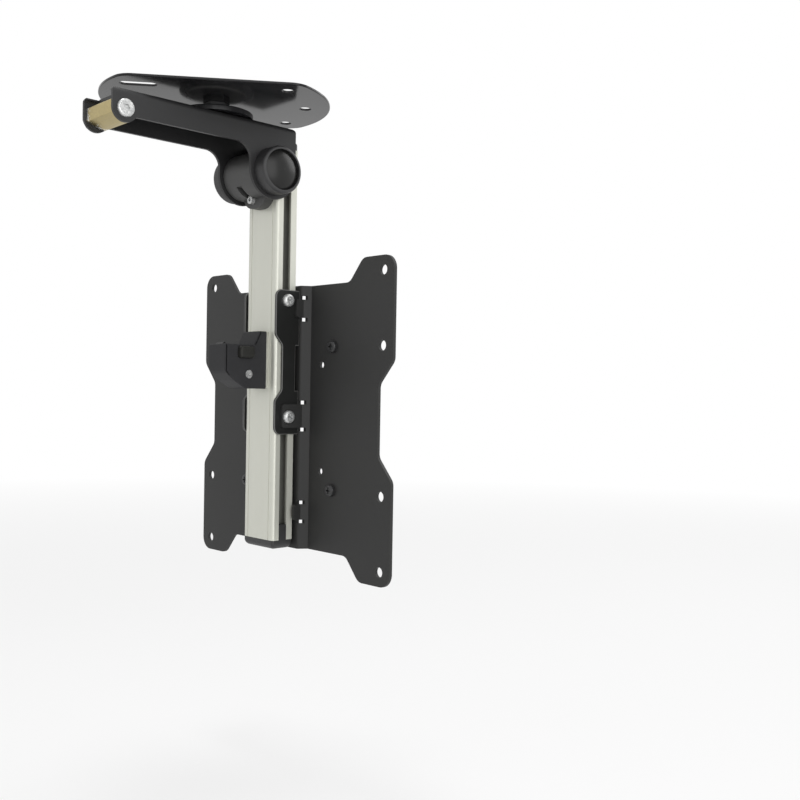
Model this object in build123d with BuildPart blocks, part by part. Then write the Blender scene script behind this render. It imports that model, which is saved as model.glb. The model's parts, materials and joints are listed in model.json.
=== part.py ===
"""Folding ceiling mount for a flat screen: swivel plate, drop arm, slotted mast, latch and sliding plate.

Frame: millimetres, +Z up, +Y towards the screen, origin on the swivel axis in the ceiling plane.
The mast hangs plumb, the carriage stands at mid height and the latch is free.
"""
import os
from math import atan2, cos, radians, sin, sqrt, tan

from build123d import *

os.makedirs("parts", exist_ok=True)

# Clearances: running fits, sliding gaps, close seats and the striker's gap in the latch
RUN = 0.05
SLIDE = 0.15
SEAT = 0.02
STRIKE_GAP = 0.4

# Ceiling plate, its long axis turned from +X
PLATE_R = 77.5
PLATE_HALF = 54.0
PLATE_T = 1.5
PLATE_TURN = 54.0
PLATE_CORNER = 14.0
PLATE_RIM = 0.5
END_HOLE_U = 60.5
SIDE_HOLE_U = 47.7
SIDE_HOLE_V = 39.6
PLATE_HOLE_D = 8.2
PLATE_SLOT_U = -47.6
PLATE_SLOT_V = 37.0
PLATE_SLOT_L = 24.0
PLATE_SLOT_W = 8.0

# Swivel stack on one pin
PIN_D = 10.0
PIN_HEAD_D = 19.0
PIN_HEAD_T = 0.8
PIN_TAIL = 0.6
SPACER_AF = 15.5
SPACER_T = 5.45
BEARING_D = 40.0
BEARING_T = 1.0
DISC_D = 50.0
DISC_T = 3.5
DISC_EDGE = 0.8
THRUST_D = 24.0
THRUST_T = 1.2
SPRING_D = 21.0
SPRING_T = 1.0
SPRING_DISH = 0.6
NUT_AF = 16.0
NUT_T = 4.4
NUT_COLLAR_T = 1.6
NUT_COLLAR_IN = 0.9

# Arm, a folded channel that is open below
ARM_SHEET = 2.2
CHEEK_GAP = 0.5
ARM_BEND = 4.0
ARM_CORNER = 3.0
EAR_Y = -78.4
EAR_DROP = 12.6
EAR_R = 8.6
EAR_CORNER = 3.0
EAR_NECK = 2.0
ARM_DEPTH = 17.0
WEB_CUT = 10.0

# Fold hinge
HINGE_Y = 34.3
HINGE_Z = -44.8
CHEEK_R = 19.0
CHEEK_FILLET = 11.0
SHAFT_D = 8.0
SHAFT_HEAD_AF = 13.0
SHAFT_HEAD_T = 3.2
CAP_R = 16.4
CAP_DEPTH = 11.0
CAP_FLOOR_T = 1.6
CAP_WELL_R = 12.0
CAP_LIP_R = 14.0
CAP_LEDGE = 3.0
CAP_EDGE = 2.0
DOME_R = 13.6
DOME_RIM_T = 1.2
DOME_RISE = 3.4
BARREL_R = 16.5
BARREL_GAP = 0.2
BARREL_EDGE = 0.8
TONGUE_HALF = 14.5
TONGUE_DROP = 23.2
TONGUE_T = 7.0
TONGUE_CORNER = 12.0
DRIVER_SLOT_ANGLE = 215.0
DRIVER_SLOT_DEEP = 4.4
TONGUE_SCREW_X = -2.0
TONGUE_SCREW_DROP = 17.3
TONGUE_SCREW_D = 3.5
TONGUE_SCREW_HEAD_D = 5.6
TONGUE_SCREW_HEAD_T = 3.0
TONGUE_KEY_AF = 2.5
TONGUE_KEY_DEEP = 1.6
BARREL_BOLT_EDGE = 5.9
BARREL_BOLT_D = 5.0
BARREL_BOLT_HEAD_D = 8.5
BARREL_BOLT_HEAD_T = 3.0
BARREL_BOLT_KEY_AF = 4.0
BARREL_BOLT_KEY_DEEP = 2.0
BARREL_BOLT_IN = 8.0
ACCESS_D = 9.5

# Mast, an extruded profile
MAST_W = 34.6
MAST_D = 17.7
MAST_BACK = 40.0
MAST_OVER = 2.3
MAST_BOTTOM = -302.4
MAST_BACK_R = 2.2
MAST_FRONT_R = 1.0
TEE_OPEN = 6.5
TEE_LIP = 2.2
TEE_WIDE = 11.0
TEE_DEEP = 6.4
CORE_HALF = 8.0
CORE_WALL = 3.0
CORE_R = 1.0
LINE_X = 12.2
LINE_W = 0.8
LINE_DEEP = 0.3

# Mast end pieces
END_CORNER = 2.0
TOP_CAP_T = 5.5
TOP_CAP_ROUND = 1.8
TOP_PLUG_T = 3.0
FOOT_CAP_T = 6.2
FOOT_CAP_ROUND = 4.0
PLUG_T = 9.0
PLUG_WALL = 2.0
STOP_TALL = 10.9

# Latch housing and bracket, heights counted from the finger's top
LATCH_HALF = 10.0
LATCH_RISE = 9.9
LATCH_DROP = 30.5
HOOD_CLEAR = 7.0
HOOD_LEAN = 4.9
HOOD_ROUND = 1.2
FINGER_Y = 3.2
FINGER_DROP = 18.5
CHIN_Y = 11.3
CHIN_DROP = 25.1
CHIN_IN_Y = 20.3
FINGER_ROUND = 1.0
CHIN_ROUND = 8.0
LATCH_EDGE = 0.7
SEAM_IN = 1.0
SEAM_W = 0.9
SEAM_DEEP = 1.2
SEAM_HOOK_Y = 2.6
SEAM_HOOK_Z = 2.8
FOOT_PLATE_T = 2.2
FOOT_PLATE_IN = 0.5
RIB_T = 3.0
RIB_Y = 16.0
RIB_DROP = 17.1
RIB_H = 9.4
LATCH_SCREW_Y = 23.6
LATCH_SCREW_DROP = 20.5
LATCH_SCREW_D = 3.0
LATCH_SCREW_HEAD_D = 6.0
LATCH_SCREW_HEAD_T = 1.8
LATCH_SCREW_SINK = 0.5
LATCH_SCREW_LEN = 15.0
LATCH_CROSS_L = 3.2
LATCH_CROSS_W = 0.9
LATCH_CROSS_DEEP = 1.0
FOOT_SCREW_X = 5.2
FOOT_SCREW_TOP_IN = 5.0
FOOT_SCREW_LOW_IN = 5.5
FOOT_SCREW_D = 3.0
FOOT_SCREW_HEAD_D = 5.6
FOOT_SCREW_HEAD_T = 1.4

# Latch button and pawl, a wedge pair at forty-five degrees
TRAVEL = 2.5
BUTTON_Y = 19.9
BUTTON_DROP = 5.3
BUTTON_L = 12.0
BUTTON_H = 8.2
BUTTON_T = 8.0
BUTTON_PROUD = 4.0
BUTTON_CORNER = 2.0
BUTTON_ROUND = 1.6
WEDGE_Y0 = 15.9
WEDGE_Y1 = 23.9
WEDGE_DROP = 5.0
WEDGE_ROOF = 1.3
WEDGE_GAP = 0.15
WEDGE_TIP_X = -0.4
PAWL_X = 4.0
PAWL_BACK_X = -7.0
PAWL_NOSE_T = 2.7
PAWL_RISE = 1.4
PAWL_FOOT_DROP = 12.0
PAWL_FOOT_T = 3.0
PAWL_WEDGE_DROP = 3.5
PAWL_GAP = 0.5

# Striker block at the arm's free end
STRIKER_L = 13.3
STRIKER_H = 12.0
STRIKER_REACH = 7.1
STRIKER_DROP = 6.4
STRIKER_SLANT_L = 8.4
STRIKER_SLANT_H = 3.4
STRIKER_EDGE = 0.6
BOLT_D = 6.0
BOLT_HEAD_D = 11.4
BOLT_HEAD_T = 1.8
BOLT_HEAD_ROUND = 1.2
BOLT_KEY_AF = 4.0
BOLT_KEY_DEEP = 1.1
BOLT_WASHER_D = 13.0
BOLT_WASHER_T = 1.2
BOLT_NUT_AF = 10.0
BOLT_NUT_T = 5.0
BOLT_TAIL = 1.2

# Screen plate, a hat section with four corner lobes, heights counted from its middle
SCREEN_SHEET = 2.3
SCREEN_Y = 65.8
SCREEN_Z = -215.5
HAT_STEP = 6.3
HAT_LIP = 1.18
HAT_SLOPE = 4.3
HAT_BEND = 2.4
MID_EDGE = 93.8
LOBE_MARGIN_X = 10.6
LOBE_MARGIN_Z = 9.7
LOBE_IN = 66.1
LOBE_SLOPE = 13.6
LOBE_CORNER = 9.5
LOBE_SOFT = 8.0
WAIST_IN = 13.8
WAIST_Z = 24.2
SHOULDER_Z = 39.8
SHOULDER_R = 7.0
WIDE_SPAN = 200.0
MID_SPAN = 100.0
NEAR_SPAN = 75.0
WIDE_HOLE_D = 7.0
MID_HOLE_D = 4.4
NEAR_HOLE_D = 4.8
TAB_MID_RISE = 1.0
TAB_MID_H = 16.7
TAB_MID_Y = 43.8
TAB_TOP_RISE = 77.5
TAB_TOP_H = 13.0
TAB_TOP_Y = 55.0
TAB_LOW_RISE = -67.5
TAB_LOW_H = 11.0
TAB_LOW_Y = 55.0
TAB_ROUND = 2.2
NOTCH_H = 2.6
NOTCH_Y = 63.6

# Guide plates, slot nuts, screws and pads of the carriage, heights counted from the screen plate's middle
GUIDE_T = 2.0
GUIDE_L = 102.0
GUIDE_DROP = 12.0
GUIDE_BACK = 38.8
GUIDE_NECK_BACK = 44.8
GUIDE_NECK_FRONT = 56.3
GUIDE_NECK_RISE = 19.0
GUIDE_NECK_H = 32.0
GUIDE_SHOULDER = 7.0
GUIDE_CORNER = 5.0
GUIDE_NECK_ROUND = 4.0
GUIDE_SCREW_TOP_IN = 7.4
GUIDE_SCREW_LOW_RISE = 0.5
GUIDE_SCREW_D = 5.0
GUIDE_SCREW_HEAD_D = 9.0
GUIDE_SCREW_HEAD_T = 3.0
GUIDE_SCREW_ROUND = 2.0
GUIDE_TIP_GAP = 0.7
CROSS_L = 4.4
CROSS_W = 1.2
CROSS_DEEP = 1.0
NUT_LEN = 14.0
PAD_W = 26.0
PAD_H = 14.0
PAD_RISE = 71.0
PAD_CORNER = 2.0
SCREEN_SCREW_D = 4.0
SCREEN_SCREW_HEAD_D = 8.4
SCREEN_SCREW_HEAD_T = 3.0
SCREEN_SCREW_ROUND = 1.3
SCREEN_SCREW_OUT = 10.0
SCREEN_NECK_D = 3.4
SCREEN_NECK_OUT = 1.0
SCREEN_CROSS_L = 4.4
SCREEN_CROSS_W = 1.1
SCREEN_CROSS_DEEP = 1.3

# Places that follow from the sizes above
ARM_TOP = -(PLATE_T + SPACER_T + BEARING_T + RUN + DISC_T)
WEB_UNDER = ARM_TOP - ARM_SHEET
MAST_HALF = MAST_W / 2
CHEEK_IN = MAST_HALF + CHEEK_GAP
CHEEK_OUT = CHEEK_IN + ARM_SHEET
EAR_Z = ARM_TOP - EAR_DROP
ARM_END = EAR_Y - EAR_R
ARM_FRONT = HINGE_Y + CHEEK_R
MAST_TOP = HINGE_Z + BARREL_R + MAST_OVER
MAST_FRONT = MAST_BACK + MAST_D
MAST_MID = MAST_BACK + MAST_D / 2
LATCH_BASE = MAST_BACK - FOOT_PLATE_T
TONGUE_SCREW_Z = HINGE_Z - TONGUE_SCREW_DROP
STRIKER_Y = EAR_Y - STRIKER_REACH
STRIKER_Z = EAR_Z - STRIKER_DROP
STRIKER_TOP = STRIKER_Z + STRIKER_H
FINGER_Z = STRIKER_Y - HINGE_Y + HINGE_Z - STRIKE_GAP
FINGER_LOW_Z = FINGER_Z - FINGER_DROP
LATCH_TOP_Z = FINGER_Z + LATCH_RISE
LATCH_LOW_Z = FINGER_Z - LATCH_DROP
RIB_TOP_Z = FINGER_Z - RIB_DROP
LATCH_SCREW_Z = FINGER_Z - LATCH_SCREW_DROP
FOOT_SCREW_TOP_Z = LATCH_TOP_Z - FOOT_SCREW_TOP_IN
FOOT_SCREW_LOW_Z = LATCH_LOW_Z + FOOT_SCREW_LOW_IN
BUTTON_Z = FINGER_Z - BUTTON_DROP
WEDGE_SUM = FINGER_Z - WEDGE_DROP
WEDGE_TOP = FINGER_Z - WEDGE_ROOF
PAWL_FOOT_Z = FINGER_Z - PAWL_FOOT_DROP
PAWL_WEDGE_Z = FINGER_Z - PAWL_WEDGE_DROP
FOLDED_TOP_Y = HINGE_Y + HINGE_Z - STRIKER_TOP
FOLDED_LOW_Y = HINGE_Y + HINGE_Z - STRIKER_Z
HOOD_FOOT_Y = FOLDED_LOW_Y + HOOD_CLEAR
HOOD_TOP_Y = HOOD_FOOT_Y + HOOD_LEAN
SEAM_Y = FINGER_Y + SEAM_IN
PANEL_BACK = SCREEN_Y - HAT_STEP
PANEL_FRONT = PANEL_BACK + SCREEN_SHEET
SCREEN_FRONT = SCREEN_Y + SCREEN_SHEET
GUIDE_IN = MAST_HALF + SLIDE + RUN
GUIDE_OUT = GUIDE_IN + GUIDE_T
TAB_IN = GUIDE_OUT + SEAT
TAB_OUT = TAB_IN + SCREEN_SHEET
LOBE_EDGE_X = WIDE_SPAN / 2 + LOBE_MARGIN_X
LOBE_EDGE_Z = WIDE_SPAN / 2 + LOBE_MARGIN_Z
WAIST_X = LOBE_EDGE_X - WAIST_IN
HAT_IN = TAB_IN + HAT_LIP
HAT_OUT = HAT_IN + HAT_SLOPE
GUIDE_LOW_Z = SCREEN_Z - GUIDE_DROP
GUIDE_TOP_Z = GUIDE_LOW_Z + GUIDE_L
GUIDE_NECK_LOW_Z = SCREEN_Z + GUIDE_NECK_RISE
GUIDE_NECK_TOP_Z = GUIDE_NECK_LOW_Z + GUIDE_NECK_H
GUIDE_SCREW_TOP_Z = GUIDE_TOP_Z - GUIDE_SCREW_TOP_IN
GUIDE_SCREW_LOW_Z = SCREEN_Z + GUIDE_SCREW_LOW_RISE

PLATE_TOP = Plane(
    origin=(0, 0, 0),
    x_dir=(cos(radians(PLATE_TURN)), sin(radians(PLATE_TURN)), 0),
    z_dir=(0, 0, 1),
)
HINGE_SIDE = Plane(origin=(0, HINGE_Y, HINGE_Z), x_dir=(0, 1, 0), z_dir=(1, 0, 0))
HINGE_SECTION = Plane(origin=(0, HINGE_Y, HINGE_Z), x_dir=(1, 0, 0), z_dir=(0, -1, 0))
HINGE_AXIS = Axis((0, HINGE_Y, HINGE_Z), (1, 0, 0))


def back_plane(y: float) -> Plane:
    """Return the plane at a given y that faces away from the screen, with x to the right and z up."""
    return Plane(origin=(0, y, 0), x_dir=(1, 0, 0), z_dir=(0, -1, 0))


def corner(sketch: BuildSketch, x: float, y: float) -> Vertex:
    """Return the sketch's vertex nearest to a point in the sketch's own plane."""
    return sketch.vertices().sort_by_distance((x, y, 0))[0]


# Ceiling plate: a round plate with two straight sides, holes at one end and slots at the other
with BuildPart() as ceiling_plate:
    with BuildSketch(PLATE_TOP.offset(-PLATE_T)) as plate_outline:
        Circle(PLATE_R)
        Rectangle(2 * PLATE_R, 2 * PLATE_HALF, mode=Mode.INTERSECT)
        fillet(plate_outline.vertices(), PLATE_CORNER)
    extrude(amount=PLATE_T)
    fillet(ceiling_plate.faces().sort_by(Axis.Z)[0].edges(), PLATE_RIM)
    with BuildSketch(PLATE_TOP.offset(-PLATE_T)):
        with Locations((END_HOLE_U, 0), (-END_HOLE_U, 0)):
            Circle(PLATE_HOLE_D / 2)
        with Locations((SIDE_HOLE_U, SIDE_HOLE_V), (SIDE_HOLE_U, -SIDE_HOLE_V)):
            Circle(PLATE_HOLE_D / 2)
        with Locations((PLATE_SLOT_U, PLATE_SLOT_V), (PLATE_SLOT_U, -PLATE_SLOT_V)):
            SlotOverall(PLATE_SLOT_L, PLATE_SLOT_W)
        Circle(PIN_D / 2 + SEAT)
    extrude(amount=PLATE_T, mode=Mode.SUBTRACT)
    with BuildSketch(PLATE_TOP):
        Circle(PIN_HEAD_D / 2 + SEAT)
    extrude(amount=-PIN_HEAD_T - SEAT, mode=Mode.SUBTRACT)
ceiling_plate.part.label = "ceiling_plate"
export_step(ceiling_plate.part, "parts/ceiling_plate.step")

# Swivel pin: flat head let into the plate, shank down through spacer, disc and web
THRUST_TOP = WEB_UNDER - RUN
SPRING_TOP = THRUST_TOP - THRUST_T
NUT_TOP = SPRING_TOP - SPRING_T - SPRING_DISH
PIN_END = NUT_TOP - NUT_T - PIN_TAIL
with BuildPart() as swivel_pin:
    with BuildSketch(Plane.XY):
        Circle(PIN_HEAD_D / 2)
    extrude(amount=-PIN_HEAD_T)
    with BuildSketch(Plane.XY):
        Circle(PIN_D / 2)
    extrude(amount=PIN_END)
    chamfer(swivel_pin.faces().sort_by(Axis.Z)[0].edges(), PIN_TAIL / 2)
swivel_pin.part.label = "swivel_pin"
export_step(swivel_pin.part, "parts/swivel_pin.step")

# Hexagonal spacer that keeps the arm off the plate
with BuildPart() as swivel_spacer:
    with BuildSketch(Plane.XY.offset(-PLATE_T)):
        RegularPolygon(SPACER_AF / 2, 6, major_radius=False)
        Circle(PIN_D / 2 + SEAT, mode=Mode.SUBTRACT)
    extrude(amount=-SPACER_T)
swivel_spacer.part.label = "swivel_spacer"
export_step(swivel_spacer.part, "parts/swivel_spacer.step")

# Bearing washer between spacer and turning disc
with BuildPart() as swivel_washer:
    with BuildSketch(Plane.XY.offset(-PLATE_T - SPACER_T)):
        Circle(BEARING_D / 2)
        Circle(PIN_D / 2 + SEAT, mode=Mode.SUBTRACT)
    extrude(amount=-BEARING_T)
swivel_washer.part.label = "swivel_washer"
export_step(swivel_washer.part, "parts/swivel_washer.step")

# Thrust washer under the web
with BuildPart() as thrust_washer:
    with BuildSketch(Plane.XY.offset(THRUST_TOP)):
        Circle(THRUST_D / 2)
        Circle(PIN_D / 2 + SEAT, mode=Mode.SUBTRACT)
    extrude(amount=-THRUST_T)
thrust_washer.part.label = "thrust_washer"
export_step(thrust_washer.part, "parts/thrust_washer.step")

# Dished spring that sets the swivel's friction
with BuildPart() as swivel_spring:
    with BuildSketch(back_plane(0)):
        with BuildLine():
            Polyline(
                (PIN_D / 2 + SEAT, SPRING_TOP - SPRING_DISH),
                (SPRING_D / 2, SPRING_TOP),
                (SPRING_D / 2, SPRING_TOP - SPRING_T),
                (PIN_D / 2 + SEAT, NUT_TOP),
                close=True,
            )
        make_face()
    revolve(axis=Axis.Z)
swivel_spring.part.label = "swivel_spring"
export_step(swivel_spring.part, "parts/swivel_spring.step")

# Self-locking nut with a round collar
with BuildPart() as swivel_nut:
    with BuildSketch(Plane.XY.offset(NUT_TOP)):
        RegularPolygon(NUT_AF / 2, 6, major_radius=False)
        Circle(PIN_D / 2 + SEAT, mode=Mode.SUBTRACT)
    extrude(amount=NUT_COLLAR_T - NUT_T)
    with BuildSketch(Plane.XY.offset(NUT_TOP + NUT_COLLAR_T - NUT_T)):
        Circle(NUT_AF / 2 - NUT_COLLAR_IN)
        Circle(PIN_D / 2 + SEAT, mode=Mode.SUBTRACT)
    extrude(amount=-NUT_COLLAR_T)
swivel_nut.part.label = "swivel_nut"
export_step(swivel_nut.part, "parts/swivel_nut.step")

# Arm channel: web on top, round hinge cheeks at one end and striker ears at the other
CHANNEL_H = ARM_TOP - HINGE_Z + CHEEK_R
with BuildPart() as arm_channel:
    with BuildSketch(back_plane(ARM_FRONT)) as channel_section:
        with Locations((0, ARM_TOP)):
            Rectangle(2 * CHEEK_OUT, CHANNEL_H, align=(Align.CENTER, Align.MAX))
        fillet(channel_section.vertices().group_by(Axis.Y)[-1], ARM_BEND)
        with Locations((0, WEB_UNDER)):
            Rectangle(2 * CHEEK_IN, CHANNEL_H, align=(Align.CENTER, Align.MAX), mode=Mode.SUBTRACT)
        for side in (1, -1):
            fillet(corner(channel_section, side * CHEEK_IN, WEB_UNDER), ARM_BEND - ARM_SHEET)
    extrude(amount=ARM_FRONT - ARM_END)
    with BuildSketch(Plane.YZ.offset(-CHEEK_OUT)) as arm_side:
        with BuildLine():
            Polyline(
                (ARM_END, EAR_Z),
                (ARM_END, ARM_TOP),
                (ARM_FRONT, ARM_TOP),
                (ARM_FRONT, HINGE_Z),
                (HINGE_Y - CHEEK_R, HINGE_Z),
                (HINGE_Y - CHEEK_R, ARM_TOP - ARM_DEPTH),
                (EAR_Y, ARM_TOP - ARM_DEPTH),
                (EAR_Y, EAR_Z),
                close=True,
            )
        make_face()
        fillet(corner(arm_side, HINGE_Y - CHEEK_R, ARM_TOP - ARM_DEPTH), CHEEK_FILLET)
        fillet(corner(arm_side, ARM_FRONT, ARM_TOP), ARM_CORNER)
        fillet(corner(arm_side, ARM_END, ARM_TOP), EAR_CORNER)
        with Locations((HINGE_Y, HINGE_Z)):
            Circle(CHEEK_R)
        with Locations((EAR_Y, EAR_Z)):
            Circle(EAR_R)
        fillet(corner(arm_side, EAR_Y + EAR_R, ARM_TOP - ARM_DEPTH), EAR_NECK)
    extrude(amount=2 * CHEEK_OUT, mode=Mode.INTERSECT)
    with BuildSketch(Plane.XY.offset(ARM_TOP)):
        with Locations((0, ARM_END)):
            Rectangle(2 * CHEEK_IN, WEB_CUT, align=(Align.CENTER, Align.MIN))
        Circle(PIN_D / 2 + RUN)
    extrude(amount=-ARM_SHEET, mode=Mode.SUBTRACT)
    with BuildSketch(Plane.YZ.offset(-CHEEK_OUT)):
        with Locations((EAR_Y, EAR_Z)):
            Circle(BOLT_D / 2 + SEAT)
        with Locations((HINGE_Y, HINGE_Z)):
            Circle(SHAFT_D / 2 + SEAT)
    extrude(amount=2 * CHEEK_OUT, mode=Mode.SUBTRACT)
arm_channel.part.label = "arm_channel"
export_step(arm_channel.part, "parts/arm_channel.step")

# Swivel disc on the web, under the bearing washer
with BuildPart() as swivel_disc:
    with BuildSketch(Plane.XY.offset(ARM_TOP)):
        Circle(DISC_D / 2)
        Circle(PIN_D / 2 + RUN, mode=Mode.SUBTRACT)
    extrude(amount=DISC_T)
    fillet(swivel_disc.faces().sort_by(Axis.Z)[-1].outer_wire().edges(), DISC_EDGE)
swivel_disc.part.label = "swivel_disc"
export_step(swivel_disc.part, "parts/swivel_disc.step")

# Striker block between the ears, slanted underneath to lead into the latch
with BuildPart() as striker_block:
    with BuildSketch(Plane.YZ.offset(SEAT - CHEEK_IN)):
        with BuildLine():
            Polyline(
                (STRIKER_Y, STRIKER_Z + STRIKER_SLANT_H),
                (STRIKER_Y, STRIKER_TOP),
                (STRIKER_Y + STRIKER_L, STRIKER_TOP),
                (STRIKER_Y + STRIKER_L, STRIKER_Z),
                (STRIKER_Y + STRIKER_SLANT_L, STRIKER_Z),
                close=True,
            )
        make_face()
        with Locations((EAR_Y, EAR_Z)):
            Circle(BOLT_D / 2 + SEAT, mode=Mode.SUBTRACT)
    extrude(amount=2 * CHEEK_IN - 2 * SEAT)
    chamfer(striker_block.edges().filter_by(Axis.X).group_by(Axis.Z)[-1], STRIKER_EDGE)
striker_block.part.label = "striker_block"
export_step(striker_block.part, "parts/striker_block.step")

# Striker bolt, its domed socket head on the near ear
with BuildPart() as striker_bolt:
    with BuildSketch(Plane.YZ.offset(CHEEK_OUT)):
        with Locations((EAR_Y, EAR_Z)):
            Circle(BOLT_HEAD_D / 2)
    extrude(amount=BOLT_HEAD_T)
    fillet(striker_bolt.faces().sort_by(Axis.X)[-1].edges(), BOLT_HEAD_ROUND)
    with BuildSketch(Plane.YZ.offset(CHEEK_OUT + BOLT_HEAD_T)):
        with Locations((EAR_Y, EAR_Z)):
            RegularPolygon(BOLT_KEY_AF / 2, 6, major_radius=False)
    extrude(amount=-BOLT_KEY_DEEP, mode=Mode.SUBTRACT)
    with BuildSketch(Plane.YZ.offset(CHEEK_OUT)):
        with Locations((EAR_Y, EAR_Z)):
            Circle(BOLT_D / 2)
    extrude(amount=-(2 * CHEEK_OUT + BOLT_WASHER_T + BOLT_NUT_T + BOLT_TAIL))
striker_bolt.part.label = "striker_bolt"
export_step(striker_bolt.part, "parts/striker_bolt.step")

# Flanged nut on the far ear
with BuildPart() as striker_nut:
    with BuildSketch(Plane.YZ.offset(-CHEEK_OUT)):
        with Locations((EAR_Y, EAR_Z)):
            Circle(BOLT_WASHER_D / 2)
            Circle(BOLT_D / 2 + SEAT, mode=Mode.SUBTRACT)
    extrude(amount=-BOLT_WASHER_T)
    with BuildSketch(Plane.YZ.offset(-CHEEK_OUT - BOLT_WASHER_T)):
        with Locations((EAR_Y, EAR_Z)):
            RegularPolygon(BOLT_NUT_AF / 2, 6, major_radius=False)
            Circle(BOLT_D / 2 + SEAT, mode=Mode.SUBTRACT)
    extrude(amount=-BOLT_NUT_T)
striker_nut.part.label = "striker_nut"
export_step(striker_nut.part, "parts/striker_nut.step")

# Near hinge cap: a turned cup with a raised lip, clamped by the hinge bolt
CAP_FACE = CHEEK_OUT + CAP_DEPTH
CAP_SEAT = CAP_FACE - CAP_LEDGE
CAP_FLOOR = CHEEK_OUT + CAP_FLOOR_T
with BuildPart() as hinge_cap_near:
    with BuildSketch(HINGE_SECTION) as cap_section:
        with BuildLine():
            Polyline(
                (CHEEK_OUT, SHAFT_D / 2 + SEAT),
                (CHEEK_OUT, CAP_R),
                (CAP_FACE, CAP_R),
                (CAP_FACE, CAP_LIP_R),
                (CAP_SEAT, CAP_LIP_R),
                (CAP_SEAT, CAP_WELL_R),
                (CAP_FLOOR, CAP_WELL_R),
                (CAP_FLOOR, SHAFT_D / 2 + SEAT),
                close=True,
            )
        make_face()
        fillet(corner(cap_section, CAP_FACE, CAP_R), CAP_EDGE)
    revolve(axis=HINGE_AXIS)
hinge_cap_near.part.label = "hinge_cap_near"
export_step(hinge_cap_near.part, "parts/hinge_cap_near.step")

# Far hinge cap
with BuildPart() as hinge_cap_far:
    add(hinge_cap_near.part.mirror(Plane.YZ))
hinge_cap_far.part.label = "hinge_cap_far"
export_step(hinge_cap_far.part, "parts/hinge_cap_far.step")

# Near domed plug, standing on the cap's ledge inside the lip
DOME_RIM = CAP_SEAT + DOME_RIM_T
DOME_BALL = (DOME_R**2 + DOME_RISE**2) / (2 * DOME_RISE)
DOME_MID_X = DOME_RIM + DOME_RISE - DOME_BALL + sqrt(DOME_BALL**2 - (DOME_R / 2) ** 2)
with BuildPart() as dome_plug_near:
    with BuildSketch(HINGE_SECTION):
        with BuildLine():
            Line((CAP_SEAT, 0), (DOME_RIM + DOME_RISE, 0))
            ThreePointArc((DOME_RIM + DOME_RISE, 0), (DOME_MID_X, DOME_R / 2), (DOME_RIM, DOME_R))
            Line((DOME_RIM, DOME_R), (CAP_SEAT, DOME_R))
            Line((CAP_SEAT, DOME_R), (CAP_SEAT, 0))
        make_face()
    revolve(axis=HINGE_AXIS)
dome_plug_near.part.label = "dome_plug_near"
export_step(dome_plug_near.part, "parts/dome_plug_near.step")

# Far domed plug
with BuildPart() as dome_plug_far:
    add(dome_plug_near.part.mirror(Plane.YZ))
dome_plug_far.part.label = "dome_plug_far"
export_step(dome_plug_far.part, "parts/dome_plug_far.step")

# Hinge bolt: the fold axle, its thin head inside the near cap
with BuildPart() as hinge_bolt:
    with BuildSketch(HINGE_SIDE.offset(CAP_FLOOR)):
        RegularPolygon(SHAFT_HEAD_AF / 2, 6, major_radius=False)
    extrude(amount=SHAFT_HEAD_T)
    with BuildSketch(HINGE_SIDE.offset(CAP_FLOOR)):
        Circle(SHAFT_D / 2)
    extrude(amount=-2 * CAP_FLOOR - SHAFT_HEAD_T)
hinge_bolt.part.label = "hinge_bolt"
export_step(hinge_bolt.part, "parts/hinge_bolt.step")

# Thin nut inside the far cap
with BuildPart() as hinge_nut:
    with BuildSketch(HINGE_SIDE.offset(-CAP_FLOOR)):
        RegularPolygon(SHAFT_HEAD_AF / 2, 6, major_radius=False)
        Circle(SHAFT_D / 2 + SEAT, mode=Mode.SUBTRACT)
    extrude(amount=-SHAFT_HEAD_T)
hinge_nut.part.label = "hinge_nut"
export_step(hinge_nut.part, "parts/hinge_nut.step")

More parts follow.
